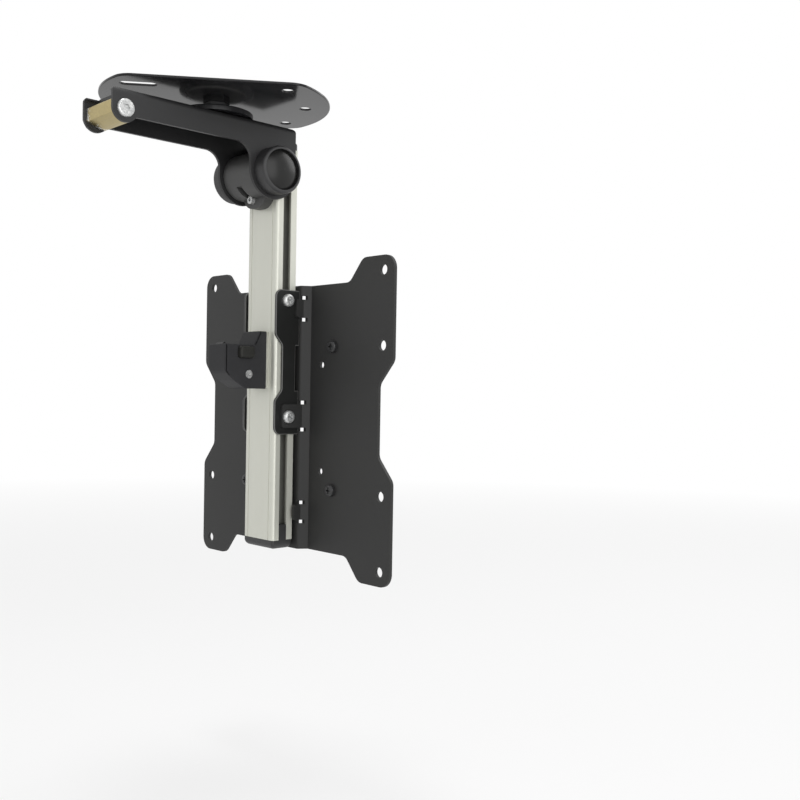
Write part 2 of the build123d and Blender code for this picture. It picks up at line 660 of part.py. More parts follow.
# Hinge barrel: cut flat against the mast, with a tongue down its back and a slot for the driver
BARREL_HALF = CHEEK_IN - BARREL_GAP
TONGUE_FACE = MAST_BACK - TONGUE_T
SLOT_TOP_Z = HINGE_Z + BARREL_R * sin(radians(DRIVER_SLOT_ANGLE))
SLOT_IN_Y = HINGE_Y + BARREL_R * cos(radians(DRIVER_SLOT_ANGLE)) + DRIVER_SLOT_DEEP
SLOT_W = TONGUE_SCREW_HEAD_D + 2 * SLIDE
BARREL_BOLT_Z = HINGE_Z + BARREL_R - BARREL_BOLT_EDGE
with BuildPart() as hinge_barrel:
    with BuildSketch(HINGE_SIDE.offset(-BARREL_HALF)):
        Circle(BARREL_R)
    extrude(amount=2 * BARREL_HALF)
    fillet(hinge_barrel.edges().filter_by(GeomType.CIRCLE), BARREL_EDGE)
    with BuildSketch(back_plane(MAST_BACK)) as tongue_face:
        with Locations((0, HINGE_Z)):
            Rectangle(2 * TONGUE_HALF, TONGUE_DROP, align=(Align.CENTER, Align.MAX))
        fillet(tongue_face.vertices().group_by(Axis.Y)[0], TONGUE_CORNER)
    extrude(amount=TONGUE_T)
    with BuildSketch(back_plane(MAST_BACK)):
        with Locations((0, HINGE_Z)):
            Rectangle(4 * BARREL_R, 4 * BARREL_R)
    extrude(amount=-2 * BARREL_R, mode=Mode.SUBTRACT)
    with BuildSketch(Plane.YZ.offset(TONGUE_SCREW_X - SLOT_W / 2)):
        with BuildLine():
            Polyline(
                (HINGE_Y - 2 * BARREL_R, SLOT_TOP_Z),
                (SLOT_IN_Y, SLOT_TOP_Z),
                (TONGUE_FACE, SLOT_TOP_Z - DRIVER_SLOT_DEEP / 2),
                (TONGUE_FACE, HINGE_Z - 2 * BARREL_R),
                (HINGE_Y - 2 * BARREL_R, HINGE_Z - 2 * BARREL_R),
                close=True,
            )
        make_face()
    extrude(amount=SLOT_W, mode=Mode.SUBTRACT)
    with BuildSketch(HINGE_SIDE.offset(-BARREL_HALF)):
        Circle(SHAFT_D / 2 + RUN)
    extrude(amount=2 * BARREL_HALF, mode=Mode.SUBTRACT)
    with BuildSketch(back_plane(MAST_BACK)):
        with Locations((TONGUE_SCREW_X, TONGUE_SCREW_Z)):
            Circle(TONGUE_SCREW_D / 2 + SEAT)
    extrude(amount=TONGUE_T, mode=Mode.SUBTRACT)
    with BuildSketch(back_plane(MAST_BACK)):
        with Locations((0, BARREL_BOLT_Z)):
            Circle(BARREL_BOLT_D / 2 + SEAT)
    extrude(amount=BARREL_BOLT_IN + SEAT, mode=Mode.SUBTRACT)
hinge_barrel.part.label = "hinge_barrel"
export_step(hinge_barrel.part, "parts/hinge_barrel.step")

# Socket screw through the tongue into the mast's back wall
with BuildPart() as tongue_screw:
    with BuildSketch(back_plane(TONGUE_FACE)):
        with Locations((TONGUE_SCREW_X, TONGUE_SCREW_Z)):
            Circle(TONGUE_SCREW_HEAD_D / 2)
    extrude(amount=TONGUE_SCREW_HEAD_T)
    with BuildSketch(back_plane(TONGUE_FACE - TONGUE_SCREW_HEAD_T)):
        with Locations((TONGUE_SCREW_X, TONGUE_SCREW_Z)):
            RegularPolygon(TONGUE_KEY_AF / 2, 6, major_radius=False)
    extrude(amount=-TONGUE_KEY_DEEP, mode=Mode.SUBTRACT)
    with BuildSketch(back_plane(TONGUE_FACE)):
        with Locations((TONGUE_SCREW_X, TONGUE_SCREW_Z)):
            Circle(TONGUE_SCREW_D / 2)
    extrude(amount=-TONGUE_T - CORE_WALL)
tongue_screw.part.label = "tongue_screw"
export_step(tongue_screw.part, "parts/tongue_screw.step")

# Mast: tee slots in both sides, a hollow core and two fine lines down the back
with BuildPart() as mast_profile:
    with BuildSketch(Plane.XY.offset(MAST_BOTTOM)) as mast_section:
        with Locations((0, MAST_MID)):
            Rectangle(MAST_W, MAST_D)
        fillet(mast_section.vertices().group_by(Axis.Y)[0], MAST_BACK_R)
        fillet(mast_section.vertices().group_by(Axis.Y)[-1], MAST_FRONT_R)
        with Locations((MAST_HALF, MAST_MID)):
            Rectangle(TEE_DEEP, TEE_OPEN, align=(Align.MAX, Align.CENTER), mode=Mode.SUBTRACT)
        with Locations((MAST_HALF - TEE_LIP, MAST_MID)):
            Rectangle(TEE_DEEP - TEE_LIP, TEE_WIDE, align=(Align.MAX, Align.CENTER), mode=Mode.SUBTRACT)
        with Locations((-MAST_HALF, MAST_MID)):
            Rectangle(TEE_DEEP, TEE_OPEN, align=(Align.MIN, Align.CENTER), mode=Mode.SUBTRACT)
        with Locations((TEE_LIP - MAST_HALF, MAST_MID)):
            Rectangle(TEE_DEEP - TEE_LIP, TEE_WIDE, align=(Align.MIN, Align.CENTER), mode=Mode.SUBTRACT)
        with Locations((0, MAST_MID)):
            RectangleRounded(2 * CORE_HALF, MAST_D - 2 * CORE_WALL, CORE_R, mode=Mode.SUBTRACT)
        with Locations((LINE_X, MAST_BACK), (-LINE_X, MAST_BACK)):
            Rectangle(LINE_W, 2 * LINE_DEEP, mode=Mode.SUBTRACT)
    extrude(amount=MAST_TOP - MAST_BOTTOM)
    with BuildSketch(back_plane(MAST_BACK)):
        with Locations((0, BARREL_BOLT_Z)):
            Circle(BARREL_BOLT_D / 2 + SEAT)
        with Locations((TONGUE_SCREW_X, TONGUE_SCREW_Z)):
            Circle(TONGUE_SCREW_D / 2 + SEAT)
        with Locations((FOOT_SCREW_X, FOOT_SCREW_TOP_Z), (-FOOT_SCREW_X, FOOT_SCREW_TOP_Z)):
            Circle(FOOT_SCREW_D / 2 + SEAT)
        with Locations((FOOT_SCREW_X, FOOT_SCREW_LOW_Z), (-FOOT_SCREW_X, FOOT_SCREW_LOW_Z)):
            Circle(FOOT_SCREW_D / 2 + SEAT)
    extrude(amount=-CORE_WALL, mode=Mode.SUBTRACT)
    with BuildSketch(back_plane(MAST_FRONT)):
        with Locations((0, BARREL_BOLT_Z)):
            Circle(ACCESS_D / 2)
    extrude(amount=CORE_WALL, mode=Mode.SUBTRACT)
mast_profile.part.label = "mast_profile"
export_step(mast_profile.part, "parts/mast_profile.step")

# Bolt from inside the mast's core into the barrel
with BuildPart() as barrel_bolt:
    with BuildSketch(back_plane(MAST_BACK + CORE_WALL)):
        with Locations((0, BARREL_BOLT_Z)):
            Circle(BARREL_BOLT_HEAD_D / 2)
    extrude(amount=-BARREL_BOLT_HEAD_T)
    with BuildSketch(back_plane(MAST_BACK + CORE_WALL)):
        with Locations((0, BARREL_BOLT_Z)):
            Circle(BARREL_BOLT_D / 2)
    extrude(amount=CORE_WALL + BARREL_BOLT_IN)
    with BuildSketch(back_plane(MAST_BACK + CORE_WALL + BARREL_BOLT_HEAD_T)):
        with Locations((0, BARREL_BOLT_Z)):
            RegularPolygon(BARREL_BOLT_KEY_AF / 2, 6, major_radius=False)
    extrude(amount=BARREL_BOLT_KEY_DEEP, mode=Mode.SUBTRACT)
barrel_bolt.part.label = "barrel_bolt"
export_step(barrel_bolt.part, "parts/barrel_bolt.step")

# Mast top cap, plugged into the core
PLUG_W = 2 * CORE_HALF - 2 * SEAT
PLUG_D = MAST_D - 2 * CORE_WALL - 2 * SEAT
with BuildPart() as mast_top_cap:
    with BuildSketch(Plane.XY.offset(MAST_TOP)):
        with Locations((0, MAST_MID)):
            RectangleRounded(MAST_W, MAST_D, END_CORNER)
    extrude(amount=TOP_CAP_T)
    fillet(mast_top_cap.faces().sort_by(Axis.Z)[-1].edges(), TOP_CAP_ROUND)
    with BuildSketch(Plane.XY.offset(MAST_TOP)):
        with Locations((0, MAST_MID)):
            RectangleRounded(PLUG_W, PLUG_D, CORE_R)
            Rectangle(PLUG_W - 2 * PLUG_WALL, PLUG_D - 2 * PLUG_WALL, mode=Mode.SUBTRACT)
    extrude(amount=-TOP_PLUG_T)
mast_top_cap.part.label = "mast_top_cap"
export_step(mast_top_cap.part, "parts/mast_top_cap.step")

# Mast foot cap, rounded underneath and plugged into the core
with BuildPart() as mast_foot_cap:
    with BuildSketch(Plane.XY.offset(MAST_BOTTOM)):
        with Locations((0, MAST_MID)):
            RectangleRounded(MAST_W, MAST_D, END_CORNER)
    extrude(amount=-FOOT_CAP_T)
    fillet(mast_foot_cap.faces().sort_by(Axis.Z)[0].edges(), FOOT_CAP_ROUND)
    with BuildSketch(Plane.XY.offset(MAST_BOTTOM)):
        with Locations((0, MAST_MID)):
            RectangleRounded(PLUG_W, PLUG_D, CORE_R)
            Rectangle(PLUG_W - 2 * PLUG_WALL, PLUG_D - 2 * PLUG_WALL, mode=Mode.SUBTRACT)
    extrude(amount=PLUG_T)
mast_foot_cap.part.label = "mast_foot_cap"
export_step(mast_foot_cap.part, "parts/mast_foot_cap.step")

# Stops at the foot of both tee slots
TEE_ROOT = MAST_HALF - TEE_DEEP
TEE_STEP = MAST_HALF - TEE_LIP
with BuildPart() as slot_stops:
    with BuildSketch(Plane.XY.offset(MAST_BOTTOM)):
        with Locations((MAST_HALF, MAST_MID)):
            Rectangle(TEE_DEEP - SEAT, TEE_OPEN - 2 * SEAT, align=(Align.MAX, Align.CENTER))
        with Locations((TEE_STEP - SEAT, MAST_MID)):
            Rectangle(TEE_DEEP - TEE_LIP - 2 * SEAT, TEE_WIDE - 2 * SEAT, align=(Align.MAX, Align.CENTER))
    extrude(amount=STOP_TALL)
    mirror(about=Plane.YZ)
slot_stops.part.label = "slot_stops"
export_step(slot_stops.part, "parts/slot_stops.step")

# Latch bracket: a bright foot plate on the mast with a rib that stands into the housing
FOOT_HALF = LATCH_HALF - FOOT_PLATE_IN
with BuildPart() as latch_bracket:
    with BuildSketch(back_plane(MAST_BACK)):
        with Locations((0, (LATCH_TOP_Z + LATCH_LOW_Z) / 2)):
            Rectangle(2 * FOOT_HALF, LATCH_TOP_Z - LATCH_LOW_Z - 2 * FOOT_PLATE_IN)
    extrude(amount=FOOT_PLATE_T)
    with BuildSketch(Plane.YZ.offset(-RIB_T / 2)):
        with Locations((LATCH_BASE, RIB_TOP_Z)):
            Rectangle(LATCH_BASE - RIB_Y, RIB_H, align=(Align.MAX, Align.MAX))
    extrude(amount=RIB_T)
    with BuildSketch(Plane.YZ.offset(-RIB_T / 2)):
        with Locations((LATCH_SCREW_Y, LATCH_SCREW_Z)):
            Circle(LATCH_SCREW_D / 2 + SEAT)
    extrude(amount=RIB_T, mode=Mode.SUBTRACT)
    with BuildSketch(back_plane(LATCH_BASE)):
        with Locations((FOOT_SCREW_X, FOOT_SCREW_TOP_Z), (-FOOT_SCREW_X, FOOT_SCREW_TOP_Z)):
            Circle(FOOT_SCREW_D / 2 + SEAT)
        with Locations((FOOT_SCREW_X, FOOT_SCREW_LOW_Z), (-FOOT_SCREW_X, FOOT_SCREW_LOW_Z)):
            Circle(FOOT_SCREW_D / 2 + SEAT)
    extrude(amount=-FOOT_PLATE_T, mode=Mode.SUBTRACT)
    with BuildSketch(back_plane(LATCH_BASE)):
        with Locations((FOOT_SCREW_X, FOOT_SCREW_TOP_Z), (-FOOT_SCREW_X, FOOT_SCREW_TOP_Z)):
            Circle(FOOT_SCREW_HEAD_D / 2 + SEAT)
        with Locations((FOOT_SCREW_X, FOOT_SCREW_LOW_Z), (-FOOT_SCREW_X, FOOT_SCREW_LOW_Z)):
            Circle(FOOT_SCREW_HEAD_D / 2 + SEAT)
    extrude(amount=-FOOT_SCREW_HEAD_T, mode=Mode.SUBTRACT)
latch_bracket.part.label = "latch_bracket"
export_step(latch_bracket.part, "parts/latch_bracket.step")

# Flat screws that hold the bracket to the mast
with BuildPart() as bracket_screws:
    with BuildSketch(back_plane(LATCH_BASE + FOOT_SCREW_HEAD_T)):
        with Locations((FOOT_SCREW_X, FOOT_SCREW_TOP_Z), (-FOOT_SCREW_X, FOOT_SCREW_TOP_Z)):
            Circle(FOOT_SCREW_HEAD_D / 2)
        with Locations((FOOT_SCREW_X, FOOT_SCREW_LOW_Z), (-FOOT_SCREW_X, FOOT_SCREW_LOW_Z)):
            Circle(FOOT_SCREW_HEAD_D / 2)
    extrude(amount=FOOT_SCREW_HEAD_T - SEAT)
    with BuildSketch(back_plane(LATCH_BASE + FOOT_SCREW_HEAD_T)):
        with Locations((FOOT_SCREW_X, FOOT_SCREW_TOP_Z), (-FOOT_SCREW_X, FOOT_SCREW_TOP_Z)):
            Circle(FOOT_SCREW_D / 2)
        with Locations((FOOT_SCREW_X, FOOT_SCREW_LOW_Z), (-FOOT_SCREW_X, FOOT_SCREW_LOW_Z)):
            Circle(FOOT_SCREW_D / 2)
    extrude(amount=FOOT_SCREW_HEAD_T - FOOT_PLATE_T - CORE_WALL)
bracket_screws.part.label = "bracket_screws"
export_step(bracket_screws.part, "parts/bracket_screws.step")

# Latch housing: a hooded prism whose top takes the folded striker, hollowed for button and pawl
BUTTON_BACK = LATCH_HALF + BUTTON_PROUD - BUTTON_T
BUTTON_LOW = BUTTON_Z - BUTTON_H / 2
PAWL_Y1 = FOLDED_TOP_Y - PAWL_GAP
PAWL_Y0 = PAWL_Y1 - PAWL_NOSE_T
PAWL_FOOT_TOP = PAWL_FOOT_Z + PAWL_FOOT_T
with BuildPart() as latch_housing:
    with BuildSketch(Plane.YZ.offset(-LATCH_HALF)) as latch_side:
        with BuildLine():
            Polyline(
                (LATCH_BASE, LATCH_TOP_Z),
                (HOOD_TOP_Y, LATCH_TOP_Z),
                (HOOD_FOOT_Y, FINGER_Z),
                (FINGER_Y, FINGER_Z),
                (FINGER_Y, FINGER_LOW_Z),
                (CHIN_Y, FINGER_Z - CHIN_DROP),
                (CHIN_IN_Y, LATCH_LOW_Z),
                (LATCH_BASE, LATCH_LOW_Z),
                close=True,
            )
        make_face()
        fillet(corner(latch_side, HOOD_TOP_Y, LATCH_TOP_Z), HOOD_ROUND)
        fillet(corner(latch_side, FINGER_Y, FINGER_Z), FINGER_ROUND)
        fillet(corner(latch_side, FINGER_Y, FINGER_LOW_Z), CHIN_ROUND)
        fillet(corner(latch_side, CHIN_Y, FINGER_Z - CHIN_DROP), CHIN_ROUND)
        fillet(corner(latch_side, CHIN_IN_Y, LATCH_LOW_Z), CHIN_ROUND)
    extrude(amount=2 * LATCH_HALF)
    wall_edges = latch_housing.faces().filter_by(Axis.X).edges()
    chamfer(wall_edges.filter_by(lambda edge: edge.center().Y < LATCH_BASE - SLIDE), LATCH_EDGE)
    with BuildSketch(Plane.YZ.offset(LATCH_HALF)):
        with Locations((BUTTON_Y, BUTTON_Z)):
            RectangleRounded(BUTTON_L + 2 * SLIDE, BUTTON_H + 2 * SLIDE, BUTTON_CORNER + SLIDE)
    extrude(amount=BUTTON_BACK - TRAVEL - SLIDE - LATCH_HALF, mode=Mode.SUBTRACT)
    with BuildSketch(Plane.YZ.offset(LATCH_HALF - SEAM_DEEP)):
        with BuildLine():
            Polyline(
                (SEAM_Y, FINGER_Z),
                (SEAM_Y, FINGER_LOW_Z),
                (SEAM_Y + SEAM_HOOK_Y, FINGER_LOW_Z - SEAM_HOOK_Z),
                (SEAM_Y + SEAM_HOOK_Y + SEAM_W, FINGER_LOW_Z - SEAM_HOOK_Z),
                (SEAM_Y + SEAM_W, FINGER_LOW_Z),
                (SEAM_Y + SEAM_W, FINGER_Z),
                close=True,
            )
        make_face()
        with BuildLine():
            Polyline(
                (HOOD_FOOT_Y + SEAM_IN, FINGER_Z),
                (HOOD_TOP_Y + SEAM_IN, LATCH_TOP_Z),
                (HOOD_TOP_Y + SEAM_IN + SEAM_W, LATCH_TOP_Z),
                (HOOD_FOOT_Y + SEAM_IN + SEAM_W, FINGER_Z),
                close=True,
            )
        make_face()
    seam = extrude(amount=SEAM_DEEP, mode=Mode.SUBTRACT)
    mirror(objects=seam, about=Plane.YZ, mode=Mode.SUBTRACT)
    with BuildSketch(Plane.YZ.offset(BUTTON_BACK)):
        with Locations((WEDGE_Y0 - SLIDE, WEDGE_TOP + SLIDE)):
            Rectangle(
                WEDGE_Y1 - WEDGE_Y0 + 2 * SLIDE,
                WEDGE_TOP - BUTTON_LOW + 2 * SLIDE,
                align=(Align.MIN, Align.MAX),
            )
    extrude(amount=PAWL_BACK_X - SLIDE - BUTTON_BACK, mode=Mode.SUBTRACT)
    with BuildSketch(Plane.YZ.offset(PAWL_X + SLIDE)):
        with Locations((PAWL_Y0 - SLIDE, PAWL_FOOT_TOP + SLIDE)):
            Rectangle(
                WEDGE_Y1 - PAWL_Y0 + 2 * SLIDE,
                PAWL_FOOT_T + TRAVEL + 2 * SLIDE,
                align=(Align.MIN, Align.MAX),
            )
    extrude(amount=PAWL_BACK_X - PAWL_X - 2 * SLIDE, mode=Mode.SUBTRACT)
    with BuildSketch(Plane.YZ.offset(PAWL_X + SLIDE)):
        with Locations((PAWL_Y0 - SLIDE, FINGER_Z)):
            Rectangle(PAWL_NOSE_T + 2 * SLIDE, FINGER_Z - PAWL_FOOT_Z, align=(Align.MIN, Align.MAX))
    extrude(amount=-2 * PAWL_X - 2 * SLIDE, mode=Mode.SUBTRACT)
    with BuildSketch(Plane.YZ.offset(-RIB_T / 2 - SEAT)):
        with Locations((LATCH_BASE, RIB_TOP_Z + SEAT)):
            Rectangle(LATCH_BASE - RIB_Y + SEAT, RIB_H + 2 * SEAT, align=(Align.MAX, Align.MAX))
    extrude(amount=RIB_T + 2 * SEAT, mode=Mode.SUBTRACT)
    with BuildSketch(Plane.YZ.offset(LATCH_HALF)):
        with Locations((LATCH_SCREW_Y, LATCH_SCREW_Z)):
            Circle(LATCH_SCREW_HEAD_D / 2 + SEAT)
    extrude(amount=-LATCH_SCREW_SINK - LATCH_SCREW_HEAD_T, mode=Mode.SUBTRACT)
    with BuildSketch(Plane.YZ.offset(LATCH_HALF)):
        with Locations((LATCH_SCREW_Y, LATCH_SCREW_Z)):
            Circle(LATCH_SCREW_D / 2 + SEAT)
    extrude(amount=-LATCH_SCREW_SINK - LATCH_SCREW_LEN - SEAT, mode=Mode.SUBTRACT)
latch_housing.part.label = "latch_housing"
export_step(latch_housing.part, "parts/latch_housing.step")

# Cross-recessed screw through the housing's wall and the bracket's rib
with BuildPart() as latch_screw:
    with BuildSketch(Plane.YZ.offset(LATCH_HALF - LATCH_SCREW_SINK)):
        with Locations((LATCH_SCREW_Y, LATCH_SCREW_Z)):
            Circle(LATCH_SCREW_HEAD_D / 2)
    extrude(amount=-LATCH_SCREW_HEAD_T)
    with BuildSketch(Plane.YZ.offset(LATCH_HALF - LATCH_SCREW_SINK)):
        with Locations((LATCH_SCREW_Y, LATCH_SCREW_Z)):
            Circle(LATCH_SCREW_D / 2)
    extrude(amount=-LATCH_SCREW_LEN)
    with BuildSketch(Plane.YZ.offset(LATCH_HALF - LATCH_SCREW_SINK)):
        with Locations((LATCH_SCREW_Y, LATCH_SCREW_Z)):
            Rectangle(LATCH_CROSS_L, LATCH_CROSS_W)
            Rectangle(LATCH_CROSS_W, LATCH_CROSS_L)
    extrude(amount=-LATCH_CROSS_DEEP, mode=Mode.SUBTRACT)
latch_screw.part.label = "latch_screw"
export_step(latch_screw.part, "parts/latch_screw.step")

# Latch button: pressed in sideways, its wedge drives the pawl down
with BuildPart() as latch_button:
    with BuildSketch(Plane.YZ.offset(BUTTON_BACK)):
        with Locations((BUTTON_Y, BUTTON_Z)):
            RectangleRounded(BUTTON_L, BUTTON_H, BUTTON_CORNER)
    extrude(amount=BUTTON_T)
    fillet(latch_button.faces().sort_by(Axis.X)[-1].edges(), BUTTON_ROUND)
    with BuildSketch(back_plane(WEDGE_Y1)):
        with BuildLine():
            Polyline(
                (BUTTON_BACK, BUTTON_LOW),
                (WEDGE_SUM + WEDGE_GAP - BUTTON_LOW, BUTTON_LOW),
                (WEDGE_TIP_X, WEDGE_SUM + WEDGE_GAP - WEDGE_TIP_X),
                (WEDGE_TIP_X, WEDGE_TOP),
                (BUTTON_BACK, WEDGE_TOP),
                close=True,
            )
        make_face()
    extrude(amount=WEDGE_Y1 - WEDGE_Y0)
latch_button.part.label = "latch_button"
export_step(latch_button.part, "parts/latch_button.step")

# Latch pawl: a nose that hooks over the striker, on a foot with the mating wedge
with BuildPart() as latch_pawl:
    with BuildSketch(Plane.YZ.offset(-PAWL_X)):
        with BuildLine():
            Polyline(
                (PAWL_Y0, PAWL_FOOT_Z),
                (PAWL_Y0, FINGER_Z),
                (PAWL_Y1 - PAWL_RISE / 2, FINGER_Z + PAWL_RISE),
                (PAWL_Y1, FINGER_Z + PAWL_RISE),
                (PAWL_Y1, PAWL_FOOT_TOP),
                (WEDGE_Y1, PAWL_FOOT_TOP),
                (WEDGE_Y1, PAWL_FOOT_Z),
                close=True,
            )
        make_face()
    extrude(amount=2 * PAWL_X)
    with BuildSketch(back_plane(WEDGE_Y1)):
        with BuildLine():
            Polyline(
                (PAWL_BACK_X, PAWL_FOOT_Z),
                (PAWL_X, PAWL_FOOT_Z),
                (PAWL_X, WEDGE_SUM - PAWL_X),
                (WEDGE_SUM - PAWL_WEDGE_Z, PAWL_WEDGE_Z),
                (PAWL_BACK_X, PAWL_WEDGE_Z),
                close=True,
            )
        make_face()
    extrude(amount=WEDGE_Y1 - WEDGE_Y0)
latch_pawl.part.label = "latch_pawl"
export_step(latch_pawl.part, "parts/latch_pawl.step")

# Screen plate: hat section with lobed wings, folded side tabs and the screen's hole patterns
TABS = (
    (TAB_TOP_RISE, TAB_TOP_H, TAB_TOP_Y),
    (TAB_MID_RISE, TAB_MID_H, TAB_MID_Y),
    (TAB_LOW_RISE, TAB_LOW_H, TAB_LOW_Y),
)
HAT_SHIFT = SCREEN_SHEET * tan(atan2(HAT_STEP, HAT_SLOPE) / 2)
with BuildSketch() as notches:
    for rise, height, _ in TABS:
        with Locations((PANEL_BACK, SCREEN_Z + rise)):
            Rectangle(NOTCH_Y - PANEL_BACK, height + 2 * NOTCH_H, align=(Align.MIN, Align.CENTER))
            Rectangle(NOTCH_Y - PANEL_BACK, height, align=(Align.MIN, Align.CENTER), mode=Mode.SUBTRACT)
with BuildPart() as screen_plate:
    with BuildSketch(back_plane(SCREEN_Y)) as wing_face:
        with BuildLine():
            Polyline(
                (HAT_OUT, SCREEN_Z + MID_EDGE),
                (LOBE_IN, SCREEN_Z + MID_EDGE),
                (LOBE_IN + LOBE_SLOPE, SCREEN_Z + LOBE_EDGE_Z),
                (LOBE_EDGE_X, SCREEN_Z + LOBE_EDGE_Z),
                (LOBE_EDGE_X, SCREEN_Z + SHOULDER_Z),
                (WAIST_X, SCREEN_Z + WAIST_Z),
                (WAIST_X, SCREEN_Z - WAIST_Z),
                (LOBE_EDGE_X, SCREEN_Z - SHOULDER_Z),
                (LOBE_EDGE_X, SCREEN_Z - LOBE_EDGE_Z),
                (LOBE_IN + LOBE_SLOPE, SCREEN_Z - LOBE_EDGE_Z),
                (LOBE_IN, SCREEN_Z - MID_EDGE),
                (HAT_OUT, SCREEN_Z - MID_EDGE),
                close=True,
            )
        make_face()
        for side in (1, -1):
            fillet(corner(wing_face, LOBE_EDGE_X, SCREEN_Z + side * LOBE_EDGE_Z), LOBE_CORNER)
            fillet(corner(wing_face, LOBE_IN + LOBE_SLOPE, SCREEN_Z + side * LOBE_EDGE_Z), LOBE_SOFT)
            fillet(corner(wing_face, LOBE_IN, SCREEN_Z + side * MID_EDGE), SHOULDER_R)
            fillet(corner(wing_face, LOBE_EDGE_X, SCREEN_Z + side * SHOULDER_Z), SHOULDER_R)
            fillet(corner(wing_face, WAIST_X, SCREEN_Z + side * WAIST_Z), SHOULDER_R)
        mirror(about=Plane.YZ)
    extrude(amount=-SCREEN_SHEET)
    with BuildSketch(Plane.XY.offset(SCREEN_Z - MID_EDGE)) as hat_section:
        with BuildLine():
            Polyline(
                (-HAT_OUT, SCREEN_FRONT),
                (-HAT_OUT, SCREEN_Y),
                (-HAT_IN, PANEL_BACK),
                (HAT_IN, PANEL_BACK),
                (HAT_OUT, SCREEN_Y),
                (HAT_OUT, SCREEN_FRONT),
                (HAT_OUT - HAT_SHIFT, SCREEN_FRONT),
                (HAT_IN - HAT_SHIFT, PANEL_FRONT),
                (HAT_SHIFT - HAT_IN, PANEL_FRONT),
                (HAT_SHIFT - HAT_OUT, SCREEN_FRONT),
                close=True,
            )
        make_face()
        for side in (1, -1):
            fillet(corner(hat_section, side * HAT_IN, PANEL_BACK), HAT_BEND)
    extrude(amount=2 * MID_EDGE)
    with BuildSketch(Plane.YZ.offset(TAB_IN)):
        add(notches.sketch)
    extrude(amount=HAT_OUT - TAB_IN, mode=Mode.SUBTRACT)
    with BuildSketch(Plane.YZ.offset(-TAB_IN)):
        add(notches.sketch)
    extrude(amount=TAB_IN - HAT_OUT, mode=Mode.SUBTRACT)
    with BuildSketch(Plane.YZ.offset(TAB_IN)) as tab_face:
        for rise, height, reach in TABS:
            with Locations((PANEL_FRONT, SCREEN_Z + rise)):
                Rectangle(PANEL_FRONT - reach, height, align=(Align.MAX, Align.CENTER))
        fillet(tab_face.vertices().filter_by(lambda point: point.X < PANEL_BACK), TAB_ROUND)
        with Locations((MAST_MID, GUIDE_SCREW_LOW_Z)):
            Circle(GUIDE_SCREW_D / 2 + SEAT, mode=Mode.SUBTRACT)
    tabs = extrude(amount=SCREEN_SHEET)
    mirror(objects=tabs, about=Plane.YZ)
    with BuildSketch(back_plane(SCREEN_Y)):
        with Locations((0, SCREEN_Z)):
            with GridLocations(WIDE_SPAN, WIDE_SPAN, 2, 2):
                Circle(WIDE_HOLE_D / 2)
            with GridLocations(WIDE_SPAN, MID_SPAN, 2, 2):
                Circle(WIDE_HOLE_D / 2)
            with GridLocations(MID_SPAN, MID_SPAN, 2, 2):
                Circle(MID_HOLE_D / 2)
            with GridLocations(NEAR_SPAN, NEAR_SPAN, 2, 2):
                Circle(NEAR_HOLE_D / 2)
    extrude(amount=-SCREEN_SHEET, mode=Mode.SUBTRACT)
screen_plate.part.label = "screen_plate"
export_step(screen_plate.part, "parts/screen_plate.step")

# Near guide plate: a waisted side plate screwed to the slot nuts, under the screen plate's tabs
with BuildPart() as guide_plate_near:
    with BuildSketch(Plane.YZ.offset(GUIDE_IN)) as guide_face:
        with BuildLine():
            Polyline(
                (GUIDE_BACK, GUIDE_TOP_Z),
                (PANEL_BACK - SEAT, GUIDE_TOP_Z),
                (PANEL_BACK - SEAT, GUIDE_NECK_TOP_Z),
                (GUIDE_NECK_FRONT, GUIDE_NECK_TOP_Z),
                (GUIDE_NECK_FRONT, GUIDE_NECK_LOW_Z),
                (PANEL_BACK - SEAT, GUIDE_NECK_LOW_Z),
                (PANEL_BACK - SEAT, GUIDE_LOW_Z),
                (GUIDE_BACK, GUIDE_LOW_Z),
                (GUIDE_BACK, GUIDE_NECK_LOW_Z - GUIDE_SHOULDER),
                (GUIDE_NECK_BACK, GUIDE_NECK_LOW_Z),
                (GUIDE_NECK_BACK, GUIDE_NECK_TOP_Z),
                (GUIDE_BACK, GUIDE_NECK_TOP_Z + GUIDE_SHOULDER),
                close=True,
            )
        make_face()
        fillet(corner(guide_face, GUIDE_BACK, GUIDE_TOP_Z), GUIDE_CORNER)
        fillet(corner(guide_face, GUIDE_BACK, GUIDE_LOW_Z), GUIDE_CORNER)
        fillet(corner(guide_face, GUIDE_BACK, GUIDE_NECK_LOW_Z - GUIDE_SHOULDER), GUIDE_NECK_ROUND)
        fillet(corner(guide_face, GUIDE_BACK, GUIDE_NECK_TOP_Z + GUIDE_SHOULDER), GUIDE_NECK_ROUND)
        fillet(corner(guide_face, GUIDE_NECK_BACK, GUIDE_NECK_LOW_Z), GUIDE_NECK_ROUND)
        fillet(corner(guide_face, GUIDE_NECK_BACK, GUIDE_NECK_TOP_Z), GUIDE_NECK_ROUND)
        with Locations((MAST_MID, GUIDE_SCREW_TOP_Z), (MAST_MID, GUIDE_SCREW_LOW_Z)):
            Circle(GUIDE_SCREW_D / 2 + SEAT, mode=Mode.SUBTRACT)
    extrude(amount=GUIDE_T)
guide_plate_near.part.label = "guide_plate_near"
export_step(guide_plate_near.part, "parts/guide_plate_near.step")

# Far guide plate
with BuildPart() as guide_plate_far:
    add(guide_plate_near.part.mirror(Plane.YZ))
guide_plate_far.part.label = "guide_plate_far"
export_step(guide_plate_far.part, "parts/guide_plate_far.step")

